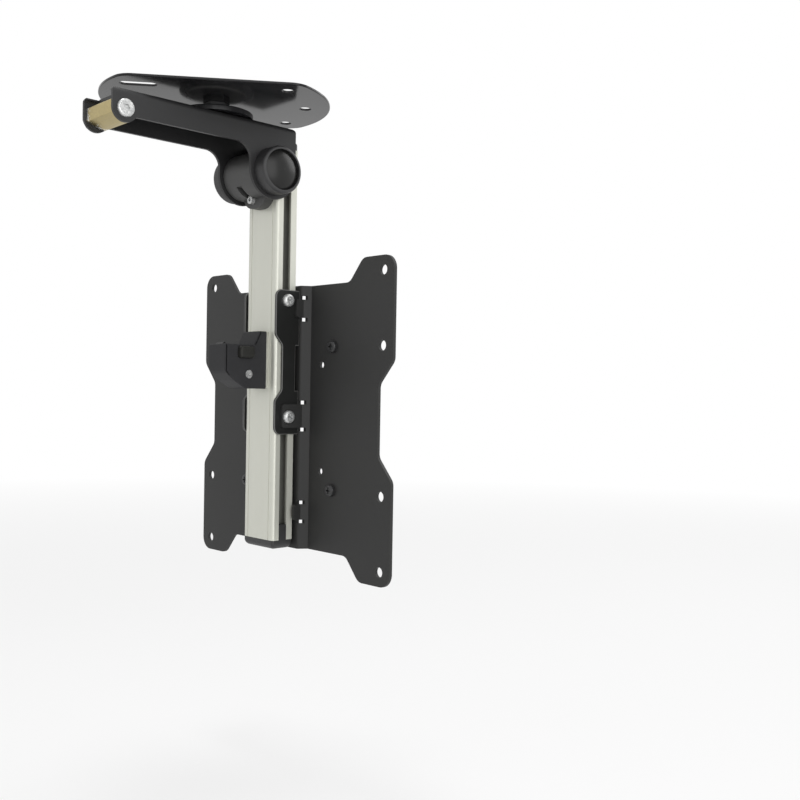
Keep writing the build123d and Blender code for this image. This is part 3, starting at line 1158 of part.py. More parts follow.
# Slot nuts that run in the mast's tee slots, one behind each guide screw
NUT_DEEP = TEE_DEEP - TEE_LIP - 2 * SLIDE
NUT_REACH = GUIDE_IN - SEAT - TEE_ROOT - SLIDE
with BuildPart() as slot_nuts:
    for screw_z in (GUIDE_SCREW_TOP_Z, GUIDE_SCREW_LOW_Z):
        with BuildSketch(Plane.XY.offset(screw_z - NUT_LEN / 2)):
            with Locations((TEE_ROOT + SLIDE, MAST_MID)):
                Rectangle(NUT_DEEP, TEE_WIDE - 2 * SLIDE, align=(Align.MIN, Align.CENTER))
                Rectangle(NUT_REACH, TEE_OPEN - 2 * SLIDE, align=(Align.MIN, Align.CENTER))
        extrude(amount=NUT_LEN)
    with BuildSketch(Plane.YZ):
        with Locations((MAST_MID, GUIDE_SCREW_TOP_Z), (MAST_MID, GUIDE_SCREW_LOW_Z)):
            Circle(GUIDE_SCREW_D / 2 + SEAT)
    extrude(amount=GUIDE_IN, mode=Mode.SUBTRACT)
    mirror(about=Plane.YZ)
slot_nuts.part.label = "slot_nuts"
export_step(slot_nuts.part, "parts/slot_nuts.step")

# Pan-head screws of the guide plates, two on each side
with BuildPart() as guide_screws:
    for seat_x, screw_z in ((GUIDE_OUT, GUIDE_SCREW_TOP_Z), (TAB_OUT, GUIDE_SCREW_LOW_Z)):
        with BuildSketch(Plane.YZ.offset(seat_x)):
            with Locations((MAST_MID, screw_z)):
                Circle(GUIDE_SCREW_HEAD_D / 2)
        extrude(amount=GUIDE_SCREW_HEAD_T)
        fillet(guide_screws.faces().filter_by(Axis.X).sort_by(Axis.X)[-1].edges(), GUIDE_SCREW_ROUND)
        with BuildSketch(Plane.YZ.offset(seat_x)):
            with Locations((MAST_MID, screw_z)):
                Circle(GUIDE_SCREW_D / 2)
        extrude(amount=TEE_ROOT + GUIDE_TIP_GAP - seat_x)
        with BuildSketch(Plane.YZ.offset(seat_x + GUIDE_SCREW_HEAD_T)):
            with Locations((MAST_MID, screw_z)):
                Rectangle(CROSS_L, CROSS_W)
                Rectangle(CROSS_W, CROSS_L)
        extrude(amount=-CROSS_DEEP, mode=Mode.SUBTRACT)
    mirror(about=Plane.YZ)
guide_screws.part.label = "guide_screws"
export_step(guide_screws.part, "parts/guide_screws.step")

# Slide pads on the screen plate, running on the mast's front
with BuildPart() as slide_pads:
    with BuildSketch(back_plane(PANEL_BACK)):
        with Locations((0, SCREEN_Z + PAD_RISE), (0, SCREEN_Z)):
            RectangleRounded(PAD_W, PAD_H, PAD_CORNER)
    extrude(amount=PANEL_BACK - MAST_FRONT - SLIDE)
slide_pads.part.label = "slide_pads"
export_step(slide_pads.part, "parts/slide_pads.step")

# Pan-head screws for the screen, waisted where they pass the sheet and standing out towards it
with BuildPart() as screen_screws:
    with BuildSketch(back_plane(SCREEN_Y)):
        with Locations((0, SCREEN_Z)):
            with GridLocations(MID_SPAN, MID_SPAN, 2, 2):
                Circle(SCREEN_SCREW_HEAD_D / 2)
    extrude(amount=SCREEN_SCREW_HEAD_T)
    fillet(screen_screws.faces().filter_by(Axis.Y).group_by(Axis.Y)[0].edges(), SCREEN_SCREW_ROUND)
    with BuildSketch(back_plane(SCREEN_Y)):
        with Locations((0, SCREEN_Z)):
            with GridLocations(MID_SPAN, MID_SPAN, 2, 2):
                Circle(SCREEN_NECK_D / 2)
    extrude(amount=-SCREEN_SHEET - SCREEN_NECK_OUT)
    with BuildSketch(back_plane(SCREEN_FRONT + SCREEN_NECK_OUT)):
        with Locations((0, SCREEN_Z)):
            with GridLocations(MID_SPAN, MID_SPAN, 2, 2):
                Circle(SCREEN_SCREW_D / 2)
    extrude(amount=SCREEN_NECK_OUT - SCREEN_SCREW_OUT)
    with BuildSketch(back_plane(SCREEN_Y - SCREEN_SCREW_HEAD_T)):
        with Locations((0, SCREEN_Z)):
            with GridLocations(MID_SPAN, MID_SPAN, 2, 2):
                Rectangle(SCREEN_CROSS_L, SCREEN_CROSS_W)
                Rectangle(SCREEN_CROSS_W, SCREEN_CROSS_L)
    extrude(amount=-SCREEN_CROSS_DEEP, mode=Mode.SUBTRACT)
screen_screws.part.label = "screen_screws"
export_step(screen_screws.part, "parts/screen_screws.step")
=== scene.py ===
"""Looks of a folding ceiling mount: finishes, softened edges, threads, studio light and camera.

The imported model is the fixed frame, in metres. Each sub-assembly is a class that dresses its own
nodes.
"""

import json
import logging
import math
from dataclasses import dataclass, field
from enum import Enum
from typing import Any, ClassVar, Dict, List, Optional, Tuple, Union

import bmesh
import bpy
from mathutils import Matrix, Vector

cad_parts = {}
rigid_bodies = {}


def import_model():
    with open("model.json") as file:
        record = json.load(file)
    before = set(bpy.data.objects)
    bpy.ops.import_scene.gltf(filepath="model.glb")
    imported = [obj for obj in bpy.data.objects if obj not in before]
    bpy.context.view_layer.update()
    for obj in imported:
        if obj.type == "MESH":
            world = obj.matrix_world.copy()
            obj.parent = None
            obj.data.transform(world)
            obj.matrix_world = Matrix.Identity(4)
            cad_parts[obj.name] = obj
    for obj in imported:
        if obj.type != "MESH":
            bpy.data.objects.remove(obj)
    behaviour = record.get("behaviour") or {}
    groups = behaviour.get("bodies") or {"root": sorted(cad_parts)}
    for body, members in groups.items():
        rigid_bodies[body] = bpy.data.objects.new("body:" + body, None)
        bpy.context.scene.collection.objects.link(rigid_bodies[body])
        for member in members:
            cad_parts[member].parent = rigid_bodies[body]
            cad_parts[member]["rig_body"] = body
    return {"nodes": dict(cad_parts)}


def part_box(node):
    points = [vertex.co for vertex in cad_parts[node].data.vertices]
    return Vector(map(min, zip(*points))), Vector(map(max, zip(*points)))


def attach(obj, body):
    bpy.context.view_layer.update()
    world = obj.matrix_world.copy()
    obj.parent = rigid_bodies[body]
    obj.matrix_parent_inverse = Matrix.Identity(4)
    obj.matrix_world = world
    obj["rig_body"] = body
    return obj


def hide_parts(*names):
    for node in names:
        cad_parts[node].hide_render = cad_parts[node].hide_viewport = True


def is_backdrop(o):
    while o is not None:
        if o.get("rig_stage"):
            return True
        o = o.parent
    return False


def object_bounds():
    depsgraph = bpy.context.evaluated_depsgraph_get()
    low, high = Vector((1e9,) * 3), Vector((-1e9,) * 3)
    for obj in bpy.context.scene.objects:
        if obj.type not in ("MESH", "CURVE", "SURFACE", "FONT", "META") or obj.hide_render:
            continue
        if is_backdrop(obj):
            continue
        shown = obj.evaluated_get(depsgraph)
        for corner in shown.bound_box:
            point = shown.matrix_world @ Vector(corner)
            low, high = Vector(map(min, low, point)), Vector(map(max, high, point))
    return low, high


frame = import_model()

log = logging.getLogger("ceiling_mount")

Colour = Tuple[float, float, float, float]
Point = Tuple[float, float, float]
Span = Tuple[float, float]

WELD = 1e-6
FLAT_ANGLE = math.radians(0.6)
SHARP_ANGLE = math.radians(32.0)
EDGE_SEGMENTS = 2
FLAT_WEIGHT = 100
MIDDLE = 0.5
WHITE: Colour = (1.0, 1.0, 1.0, 1.0)


class Run(Enum):
    """Direction in which a finish was drawn or scuffed."""

    ALONG_X = (1.0, 0.0, 0.0)
    ALONG_Z = (0.0, 0.0, 1.0)


class Value:
    """A shader socket whose operators add Math nodes to its tree."""

    def __init__(self, tree: "MaterialTree", socket: bpy.types.NodeSocket) -> None:
        """Keep the tree and the output socket that this value stands for."""
        self.tree = tree
        self.socket = socket

    def math(self, operation: str, first: Any, second: Any) -> "Value":
        """Add one Math node.

        Args:
            operation: The node's operation.
            first: A value or a number.
            second: A value or a number.

        Returns:
            The node's result.
        """
        return self.tree.node("ShaderNodeMath", {"operation": operation}, {0: first, 1: second})

    def __add__(self, other: Any) -> "Value":
        """Return the sum."""
        return self.math("ADD", self, other)

    __radd__ = __add__

    def __sub__(self, other: Any) -> "Value":
        """Return the difference."""
        return self.math("SUBTRACT", self, other)

    def __rsub__(self, other: Any) -> "Value":
        """Return the difference from a number."""
        return self.math("SUBTRACT", other, self)

    def __mul__(self, other: Any) -> "Value":
        """Return the product."""
        return self.math("MULTIPLY", self, other)

    __rmul__ = __mul__

    def absolute(self) -> "Value":
        """Return the value without its sign."""
        return self.math("ABSOLUTE", self, 0.0)

    def above(self, other: Any) -> "Value":
        """Return 1 where this value is above another, and 0 elsewhere."""
        return self.math("GREATER_THAN", self, other)


class MaterialTree:
    """The node tree of one material, with a Principled shader at its end."""

    def __init__(self, name: str) -> None:
        """Make an empty material of that name with its shader."""
        self.material = bpy.data.materials.new(name)
        self.material.use_nodes = True
        self.nodes = self.material.node_tree.nodes
        self.links = self.material.node_tree.links
        self.shader = self.nodes["Principled BSDF"]

    def node(
        self,
        kind: str,
        settings: Optional[Dict[str, Any]] = None,
        sockets: Optional[Dict[Union[int, str], Any]] = None,
        out: Union[int, str] = 0,
    ) -> Value:
        """Add a node.

        Args:
            kind: The node's type.
            settings: Its properties, set first.
            sockets: Numbers, colours or values for its inputs, by name or index.
            out: The output that is wanted.

        Returns:
            That output.
        """
        made = self.nodes.new(kind)
        for key, setting in (settings or {}).items():
            setattr(made, key, setting)
        for key, given in (sockets or {}).items():
            self.feed(made.inputs[key], given)
        return Value(self, made.outputs[out])

    def feed(self, socket: bpy.types.NodeSocket, given: Any) -> None:
        """Link a value to a socket, or set the socket's own number or colour."""
        if isinstance(given, Value):
            self.links.new(given.socket, socket)
        else:
            socket.default_value = given

    def place(self) -> Value:
        """Return the object coordinates, which are the row frame in metres."""
        return self.node("ShaderNodeTexCoord", out="Object")

    def along(self, place: Value, axis: str) -> Value:
        """Return one coordinate of a place, by the name of its axis."""
        return self.node("ShaderNodeSeparateXYZ", {}, {0: place}, out=axis)

    def noise(
        self, place: Value, size: float, detail: float = 2.0, roughness: float = 0.5
    ) -> Value:
        """Return soft noise from 0 to 1.

        Args:
            place: Coordinates in metres.
            size: The size of its features, in metres.
            detail: The number of finer layers.
            roughness: How strong the finer layers are.

        Returns:
            The noise.
        """
        sockets = {"Vector": place, "Scale": 1.0 / size, "Detail": detail, "Roughness": roughness}
        return self.node("ShaderNodeTexNoise", {}, sockets)

    def streaks(self, place: Value, run: Run, width: float, length: float) -> Value:
        """Return noise that is drawn out along one direction.

        Args:
            place: Coordinates in metres.
            run: The direction of the streaks.
            width: Their width in metres.
            length: Their length in metres.

        Returns:
            The noise, from 0 to 1.
        """
        scale = tuple(1.0 / length if along else 1.0 / width for along in run.value)
        drawn = self.node("ShaderNodeMapping", {}, {"Vector": place, "Scale": scale})
        return self.node("ShaderNodeTexNoise", {}, {"Vector": drawn, "Scale": 1.0, "Detail": 3.0})

    def cells(self, place: Value, size: float) -> Value:
        """Return a random grey from 0 to 1 for each cell of about a given size in metres."""
        sockets = {"Vector": place, "Scale": 1.0 / size}
        cell = self.node("ShaderNodeTexVoronoi", {}, sockets, out="Color")
        return self.node("ShaderNodeSeparateColor", {}, {0: cell})

    def blend(self, share: Any, first: Any, second: Any) -> Value:
        """Return a colour between two, by a share from 0 to 1."""
        settings = {"data_type": "RGBA", "clamp_factor": True}
        return self.node("ShaderNodeMix", settings, {0: share, 6: first, 7: second}, out=2)

    def spread(self, value: Value, span: Span) -> Value:
        """Return a value stretched so that the span's ends become 0 and 1, and clamped."""
        sockets = {"Value": value, 1: span[0], 2: span[1]}
        return self.node("ShaderNodeMapRange", {"clamp": True}, sockets)

    def relief(self, height: Value, depth: float) -> Value:
        """Return a normal bent by a height map whose full range is a depth in metres."""
        sockets = {"Height": height, "Distance": depth, "Strength": 1.0}
        return self.node("ShaderNodeBump", {}, sockets)

    def sway(self, colour: Colour, share: Any, drift: float) -> Value:
        """Return a colour that goes from darker to lighter by a drift, with a share from 0 to 1."""
        return self.blend(share, shade(colour, 1 - drift), shade(colour, 1 + drift))

    def surface(self, sockets: Dict[str, Any]) -> bpy.types.Material:
        """Set or link the shader's sockets and return the material."""
        for key, given in sockets.items():
            self.feed(self.shader.inputs[key], given)
        return self.material


def shade(colour: Colour, share: float) -> Colour:
    """Return a colour multiplied by a share, with its alpha kept."""
    return (colour[0] * share, colour[1] * share, colour[2] * share, colour[3])


@dataclass(frozen=True)
class Finish:
    """A surface finish, made into one material the first time it is asked for."""

    name: str
    colour: Colour

    def material(self) -> bpy.types.Material:
        """Return the finish's material."""
        found = bpy.data.materials.get(self.name)
        return found if found is not None else self.build(MaterialTree(self.name))

    def build(self, tree: MaterialTree) -> bpy.types.Material:
        """Fill a new tree and return its material."""
        return tree.surface({"Base Color": self.colour})

    def prepare(self, mesh: bpy.types.Mesh) -> None:
        """Note on a mesh what the finish reads there, which is nothing for most finishes."""


@dataclass(frozen=True)
class Paint(Finish):
    """Paint or powder coat on metal: a fine peel, clouded tone and scattered dull specks."""

    roughness: float = 0.45
    peel: float = 0.0006
    depth: float = 0.00003
    coat: float = 0.0
    cloud: float = 0.03
    drift: float = 0.12
    specular: float = 0.5

    SPECK_SPAN: ClassVar[Span] = (0.66, 0.74)
    SPECK_SHARE: ClassVar[float] = 0.35
    SPECK_LIFT: ClassVar[float] = 1.9
    SPECK_ROUGH: ClassVar[float] = 0.08
    CLOUD_ROUGH: ClassVar[float] = 0.12
    COAT_ROUGH: ClassVar[float] = 0.06

    def build(self, tree: MaterialTree) -> bpy.types.Material:
        """Fill a new tree and return its material."""
        place = tree.place()
        cloud = tree.noise(place, self.cloud, detail=4.0, roughness=0.6)
        peel = tree.noise(place, self.peel, detail=2.0)
        speck = tree.spread(tree.noise(place, self.peel / 2, detail=1.0), self.SPECK_SPAN)
        tone = tree.sway(self.colour, cloud, self.drift)
        flecked = tree.blend(self.SPECK_SHARE * speck, tone, shade(self.colour, self.SPECK_LIFT))
        dulled = self.CLOUD_ROUGH * (cloud - MIDDLE) + self.SPECK_ROUGH * speck
        return tree.surface({
            "Base Color": self.painted_edge_highlight(tree, flecked),
            "Roughness": self.roughness + dulled,
            "Normal": tree.relief(peel, self.depth),
            "Specular IOR Level": self.specular,
            "Coat Weight": self.coat,
            "Coat Roughness": self.COAT_ROUGH,
        })

    def painted_edge_highlight(self, tree: MaterialTree, tone: Value) -> Value:
        """Return the paint's colour with its painted edge highlight, which plain paint has none of.

        Args:
            tree: The material's tree.
            tone: The paint's own colour.

        Returns:
            The colour to be linked.
        """
        return tone


@dataclass(frozen=True)
class EdgedPaint(Paint):
    """Paint on a plate that stands across x, with a painted highlight: paler along the plate's
    rounded edges.

    The edges are those below a height, since a fold at the plate's top turns in the same way.
    """

    # Pale colour painted on the rounded edges as a highlight.
    edge_highlight_colour: Colour = (0.13, 0.13, 0.126, 1.0)
    below: float = 0.0
    attribute: str = "rounded_edge"

    TURN_SPAN: ClassVar[Span] = (0.2, 0.5)

    def turn(self, face: bpy.types.MeshPolygon) -> float:
        """Return how far a face turns from the broad side to the edge: 0 on either, 1 half-way."""
        broad = face.normal.x ** 2
        return 4.0 * broad * (1.0 - broad) if face.center.z < self.below else 0.0

    def prepare(self, mesh: bpy.types.Mesh) -> None:
        """Note on each face how far it turns from the broad side to the edge."""
        turns = [self.turn(face) for face in mesh.polygons]
        turned = mesh.attributes.new(self.attribute, "FLOAT", "FACE")
        turned.data.foreach_set("value", turns)

    def painted_edge_highlight(self, tree: MaterialTree, tone: Value) -> Value:
        """Return the paint's colour with a painted highlight, paler where the surface turns to the
        edge.
        """
        turned = tree.node("ShaderNodeAttribute", {"attribute_name": self.attribute}, out="Fac")
        # Painted highlight: edge faces take the pale colour in place of light caught by the edge.
        return tree.blend(tree.spread(turned, self.TURN_SPAN), tone, self.edge_highlight_colour)


@dataclass(frozen=True)
class DrawnMetal(Finish):
    """Metal with drawing or brushing marks along one direction and a faint clouding."""

    roughness: float = 0.36
    run: Run = Run.ALONG_Z
    width: float = 0.0004
    length: float = 0.12
    depth: float = 0.000012
    tint: float = 0.05
    metallic: float = 1.0

    BROAD_WIDTH: ClassVar[float] = 8
    BROAD_LENGTH: ClassVar[float] = 2
    CLOUD_SIZE: ClassVar[float] = 0.02
    FINE_SHARE: ClassVar[float] = 0.45
    BROAD_SHARE: ClassVar[float] = 0.35
    CLOUD_SHARE: ClassVar[float] = 0.2
    MARK_SPAN: ClassVar[Span] = (0.3, 0.7)
    MARK_ROUGH: ClassVar[float] = 0.14

    def build(self, tree: MaterialTree) -> bpy.types.Material:
        """Fill a new tree and return its material."""
        place = tree.place()
        fine = tree.streaks(place, self.run, self.width, self.length)
        broad_width, broad_length = self.BROAD_WIDTH * self.width, self.BROAD_LENGTH * self.length
        broad = tree.streaks(place, self.run, broad_width, broad_length)
        cloud = tree.noise(place, self.CLOUD_SIZE, detail=4.0)
        marks = self.FINE_SHARE * fine + self.BROAD_SHARE * broad + self.CLOUD_SHARE * cloud
        return tree.surface({
            "Base Color": self.tone(tree, place, tree.spread(marks, self.MARK_SPAN)),
            "Metallic": self.metallic,
            "Roughness": self.roughness + self.MARK_ROUGH * (marks - MIDDLE),
            "Normal": tree.relief(fine, self.depth),
        })

    def tone(self, tree: MaterialTree, place: Value, share: Value) -> Value:
        """Return the metal's colour.

        Args:
            tree: The material's tree.
            place: Coordinates in metres.
            share: The drawing marks, from 0 to 1.

        Returns:
            The colour to be linked.
        """
        return tree.sway(self.colour, share, self.tint)


@dataclass(frozen=True)
class SlottedAlloy(DrawnMetal):
    """Drawn metal with a slot along each side whose inside is darkened by painted shade."""

    slot_middle: float = 0.04885
    slot_half: float = 0.0062
    lip: Span = (0.0171, 0.0142)
    # Share of the colour kept inside the slots: painted shade of the recess.
    slot_shade: float = 0.28

    def tone(self, tree: MaterialTree, place: Value, share: Value) -> Value:
        """Return the metal's colour with painted shade, darker from the slots' lips inwards."""
        inward = tree.spread(tree.along(place, "X").absolute(), self.lip)
        outside = (tree.along(place, "Y") - self.slot_middle).absolute().above(self.slot_half)
        unshaded = super().tone(tree, place, share)
        # Painted shade: the slots' insides get a darker colour where the recess lies in shade.
        return tree.blend(inward * (1.0 - outside), unshaded, shade(self.colour, self.slot_shade))


@dataclass(frozen=True)
class PlatedMetal(Finish):
    """Plated steel: small crystals of differing tone, a few scuffs and a bright surface."""

    roughness: float = 0.24
    grain: float = 0.0009
    depth: float = 0.000015
    second: Colour = (0.5, 0.5, 0.5, 1.0)
    metallic: float = 1.0

    CLOUD_SIZE: ClassVar[float] = 6
    SCUFF_WIDTH: ClassVar[float] = 0.3
    SCUFF_LENGTH: ClassVar[float] = 12
    SCUFF_SPAN: ClassVar[Span] = (0.6, 0.72)
    SCUFF_ROUGH: ClassVar[float] = 0.12
    GRAIN_SHARE: ClassVar[float] = 0.4
    CLOUD_SHARE: ClassVar[float] = 0.6
    TONE_SPAN: ClassVar[Span] = (0.25, 0.75)
    GRAIN_ROUGH: ClassVar[float] = 0.1

    def build(self, tree: MaterialTree) -> bpy.types.Material:
        """Fill a new tree and return its material, with marks sized by the grain."""
        place = tree.place()
        grain = tree.cells(place, self.grain)
        cloud = tree.noise(place, self.CLOUD_SIZE * self.grain, detail=5.0, roughness=0.65)
        scuff_width, scuff_length = self.SCUFF_WIDTH * self.grain, self.SCUFF_LENGTH * self.grain
        scratches = tree.streaks(place, Run.ALONG_X, scuff_width, scuff_length)
        scuff = tree.spread(scratches, self.SCUFF_SPAN)
        share = tree.spread(self.GRAIN_SHARE * grain + self.CLOUD_SHARE * cloud, self.TONE_SPAN)
        dulled = self.GRAIN_ROUGH * (grain - MIDDLE) + self.SCUFF_ROUGH * scuff
        return tree.surface({
            "Base Color": self.worn(tree, place, tree.blend(share, self.second, self.colour)),
            "Metallic": self.metallic,
            "Roughness": self.roughness + dulled,
            "Normal": tree.relief(cloud, self.depth),
        })

    def worn(self, tree: MaterialTree, place: Value, tone: Value) -> Value:
        """Return the plating's colour with its wear, which most plating has none of.

        Args:
            tree: The material's tree.
            place: Coordinates in metres.
            tone: The plating's own colour.

        Returns:
            The colour to be linked.
        """
        return tone


@dataclass(frozen=True)
class ChippedPlating(PlatedMetal):
    """Plating that is chipped down to bright steel towards one end along x."""

    chip_size: float = 0.004
    worn_end: Span = (-0.0085, -0.016)
    steel: Colour = (0.85, 0.84, 0.8, 1.0)

    CHIP_SPAN: ClassVar[Span] = (0.68, 0.72)
    WEAR_SHARE: ClassVar[float] = 0.19

    def worn(self, tree: MaterialTree, place: Value, tone: Value) -> Value:
        """Return the plating's colour with pale chips, closer together towards the worn end."""
        wear = tree.spread(tree.along(place, "X"), self.worn_end)
        chip = tree.noise(place, self.chip_size, detail=5.0, roughness=0.7)
        chipped = tree.spread(chip + self.WEAR_SHARE * wear, self.CHIP_SPAN)
        return tree.blend(chipped, tone, self.steel)


@dataclass(frozen=True)
class Moulding(Finish):
    """Moulded plastic: a fine spark texture, flow clouding and a dull sheen."""

    roughness: float = 0.5
    grain: float = 0.00028
    depth: float = 0.00003
    coat: float = 0.0
    specular: float = 0.5

    FLOW_SIZE: ClassVar[float] = 0.012
    FLOW_DARK: ClassVar[float] = 0.85
    FLOW_LIGHT: ClassVar[float] = 1.18
    FLOW_ROUGH: ClassVar[float] = 0.1
    SPARK_ROUGH: ClassVar[float] = 0.08
    COAT_ROUGH: ClassVar[float] = 0.08

    def build(self, tree: MaterialTree) -> bpy.types.Material:
        """Fill a new tree and return its material."""
        place = tree.place()
        spark = tree.noise(place, self.grain, detail=3.0, roughness=0.7)
        flow = tree.noise(place, self.FLOW_SIZE, detail=3.0)
        dark, light = shade(self.colour, self.FLOW_DARK), shade(self.colour, self.FLOW_LIGHT)
        dulled = self.FLOW_ROUGH * (flow - MIDDLE) + self.SPARK_ROUGH * (spark - MIDDLE)
        return tree.surface({
            "Base Color": tree.blend(flow, dark, light),
            "Roughness": self.roughness + dulled,
            "Normal": tree.relief(spark, self.depth),
            "Specular IOR Level": self.specular,
            "Coat Weight": self.coat,
            "Coat Roughness": self.COAT_ROUGH,
        })


GLOSS_BLACK = Paint(
    "gloss_black_paint", (0.012, 0.012, 0.013, 1),
    roughness=0.13, peel=0.0016, depth=0.000004, drift=0.08, specular=0.22,
)
DISC_BLACK = Paint(
    "disc_paint", (0.012, 0.012, 0.013, 1),
    roughness=0.2, peel=0.0012, depth=0.000008, drift=0.08, specular=0.3,
)
# Pale painted highlight along the arm's rounded edges.
ARM_BLACK = EdgedPaint(
    "arm_powder_coat", (0.022, 0.022, 0.0225, 1),
    roughness=0.46, specular=0.35, edge_highlight_colour=(0.2, 0.2, 0.196, 1), below=-0.02,
)
PLATE_BLACK = Paint(
    "screen_plate_powder_coat", (0.027, 0.027, 0.0265, 1), roughness=0.5, specular=0.3,
)
# Pale painted highlight along the guide plates' rounded edges.
GUIDE_BLACK = EdgedPaint(
    "guide_plate_powder_coat", (0.012, 0.0125, 0.012, 1), roughness=0.34, specular=0.45,
)
BARREL_GREY = Paint(
    "cast_barrel_coat", (0.052, 0.052, 0.051, 1), roughness=0.5, peel=0.0009, depth=0.00005,
)
SCREW_BLACK = Paint(
    "black_oxide", (0.022, 0.022, 0.023, 1), roughness=0.36, peel=0.0003, depth=0.00001,
)
PAWL_BLACK = Paint(
    "blackened_steel", (0.012, 0.012, 0.012, 1),
    roughness=0.46, peel=0.0004, depth=0.00001, specular=0.2,
)
MAST_ALLOY = SlottedAlloy(
    "anodised_alloy", (0.65, 0.655, 0.585, 1),
    roughness=0.4, depth=0.000006, tint=0.03, metallic=0.4,
)
STRIKER_YELLOW = ChippedPlating(
    "yellow_passivated", (0.46, 0.38, 0.18, 1),
    roughness=0.36, grain=0.0012, second=(0.38, 0.31, 0.145, 1),
)
BRIGHT_ZINC = PlatedMetal(
    "bright_zinc", (0.72, 0.72, 0.71, 1),
    roughness=0.3, grain=0.0011, second=(0.44, 0.45, 0.45, 1), metallic=0.6,
)
BRACKET_ZINC = PlatedMetal(
    "bracket_zinc", (0.6, 0.6, 0.56, 1),
    roughness=0.42, grain=0.003, depth=0.000004, second=(0.54, 0.54, 0.5, 1),
)
DULL_ZINC = PlatedMetal(
    "dull_zinc", (0.62, 0.62, 0.6, 1), roughness=0.36, second=(0.46, 0.46, 0.45, 1),
)
CAP_BLACK = Moulding("cap_moulding", (0.026, 0.026, 0.027, 1), roughness=0.46)
DOME_BLACK = Moulding(
    "dome_moulding", (0.009, 0.009, 0.0085, 1),
    roughness=0.3, grain=0.0006, depth=0.000008, coat=0.05, specular=0.3,
)
LATCH_BLACK = Moulding("latch_moulding", (0.036, 0.036, 0.038, 1), roughness=0.5, specular=0.1)
BUTTON_BLACK = Moulding(
    "button_moulding", (0.027, 0.027, 0.0245, 1), roughness=0.46, specular=0.15,
)
NYLON = Moulding("natural_nylon", (0.7, 0.69, 0.64, 1), roughness=0.42, grain=0.0005)


@dataclass(frozen=True)
class Dressing:
    """How one node is dressed: its finish and the radius of its softened edges, or none."""

    node: str
    finish: Finish
    edge: float = 0.0


def smooth(mesh: bpy.types.Mesh) -> None:
    """Shade all faces of a mesh smooth."""
    mesh.polygons.foreach_set("use_smooth", [True] * len(mesh.polygons))


def plain_mesh(piece: bpy.types.Object) -> None:
    """Turn a piece's modifiers into plain mesh."""
    graph = bpy.context.evaluated_depsgraph_get()
    mesh = bpy.data.meshes.new_from_object(piece.evaluated_get(graph))
    piece.modifiers.clear()
    piece.data = mesh
    mesh.name = piece.name


def link_piece(name: str, mesh: bpy.types.Mesh) -> bpy.types.Object:
    """Return a new object at the origin, linked to the scene."""
    piece = bpy.data.objects.new(name, mesh)
    bpy.context.scene.collection.objects.link(piece)
    return piece


def softened(node: str, radius: float) -> bpy.types.Object:
    """Make a copy of a node with rounded edges, which stands for the node.

    Args:
        node: The node's name.
        radius: The width of the rounded edges, in metres.

    Returns:
        The new piece, riding on the node's body.
    """
    source = frame["nodes"][node]
    mesh = bpy.data.meshes.new(node + "_softened")
    work = bmesh.new()
    work.from_mesh(source.data)
    bmesh.ops.remove_doubles(work, verts=work.verts, dist=WELD)
    bmesh.ops.dissolve_limit(work, angle_limit=FLAT_ANGLE, verts=work.verts, edges=work.edges)
    work.to_mesh(mesh)
    work.free()
    smooth(mesh)
    piece = link_piece(node + "_softened", mesh)
    bevel = piece.modifiers.new("edge", "BEVEL")
    bevel.width = radius
    bevel.segments = EDGE_SEGMENTS
    bevel.limit_method = "ANGLE"
    bevel.angle_limit = SHARP_ANGLE
    flatten = piece.modifiers.new("flat_faces", "WEIGHTED_NORMAL")
    flatten.mode = "FACE_AREA"
    flatten.weight = FLAT_WEIGHT
    plain_mesh(piece)
    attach(piece, source["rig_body"])
    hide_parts(node)
    return piece


@dataclass
class SubAssembly:
    """A group of nodes that is dressed together."""

    title: str

    def dressings(self) -> List[Dressing]:
        """Return how each node of the group is dressed."""
        return []

    def build(self) -> None:
        """Dress every node and report it."""
        for dressing in self.dressings():
            self.dress(dressing)

    def dress(self, dressing: Dressing) -> None:
        """Give one node its finish, on a softened copy where it has an edge radius."""
        piece = frame["nodes"][dressing.node]
        if dressing.edge > 0:
            piece = softened(dressing.node, dressing.edge)
        self.coat(piece, dressing.finish, dressing.node)

    def coat(self, piece: bpy.types.Object, finish: Finish, node: str) -> None:
        """Assign a finish to a piece and report it.

        Args:
            piece: The piece to finish.
            finish: Its finish.
            node: The node that the piece stands for; not used.
        """
        finish.prepare(piece.data)
        piece.data.materials.clear()
        piece.data.materials.append(finish.material())
        faces = len(piece.data.polygons)
        log.info("%s: %s in %s, %d faces", self.title, piece.name, finish.name, faces)


@dataclass
class CeilingSwivel(SubAssembly):
    """The ceiling plate and the swivel's stack on its pin."""

    title: str = "ceiling swivel"
    plate_edge: float = 0.0003
    nut_edge: float = 0.0004

    def dressings(self) -> List[Dressing]:
        """Return how each node of the group is dressed."""
        return [
            Dressing("ceiling_plate", GLOSS_BLACK, self.plate_edge),
            Dressing("swivel_pin", SCREW_BLACK),
            Dressing("swivel_spacer", SCREW_BLACK, self.nut_edge),
            Dressing("swivel_washer", NYLON),
            Dressing("thrust_washer", SCREW_BLACK),
            Dressing("swivel_spring", SCREW_BLACK),
            Dressing("swivel_nut", SCREW_BLACK, self.nut_edge),
        ]


@dataclass
class DropArm(SubAssembly):
    """The folded channel arm with its swivel disc and striker."""

    title: str = "drop arm"
    sheet_edge: float = 0.0006
    block_edge: float = 0.0004

    def dressings(self) -> List[Dressing]:
        """Return how each node of the group is dressed."""
        return [
            Dressing("arm_channel", ARM_BLACK, self.sheet_edge),
            Dressing("swivel_disc", DISC_BLACK),
            Dressing("striker_block", STRIKER_YELLOW, self.block_edge),
            Dressing("striker_bolt", BRIGHT_ZINC),
            Dressing("striker_nut", BRIGHT_ZINC, self.block_edge),
        ]


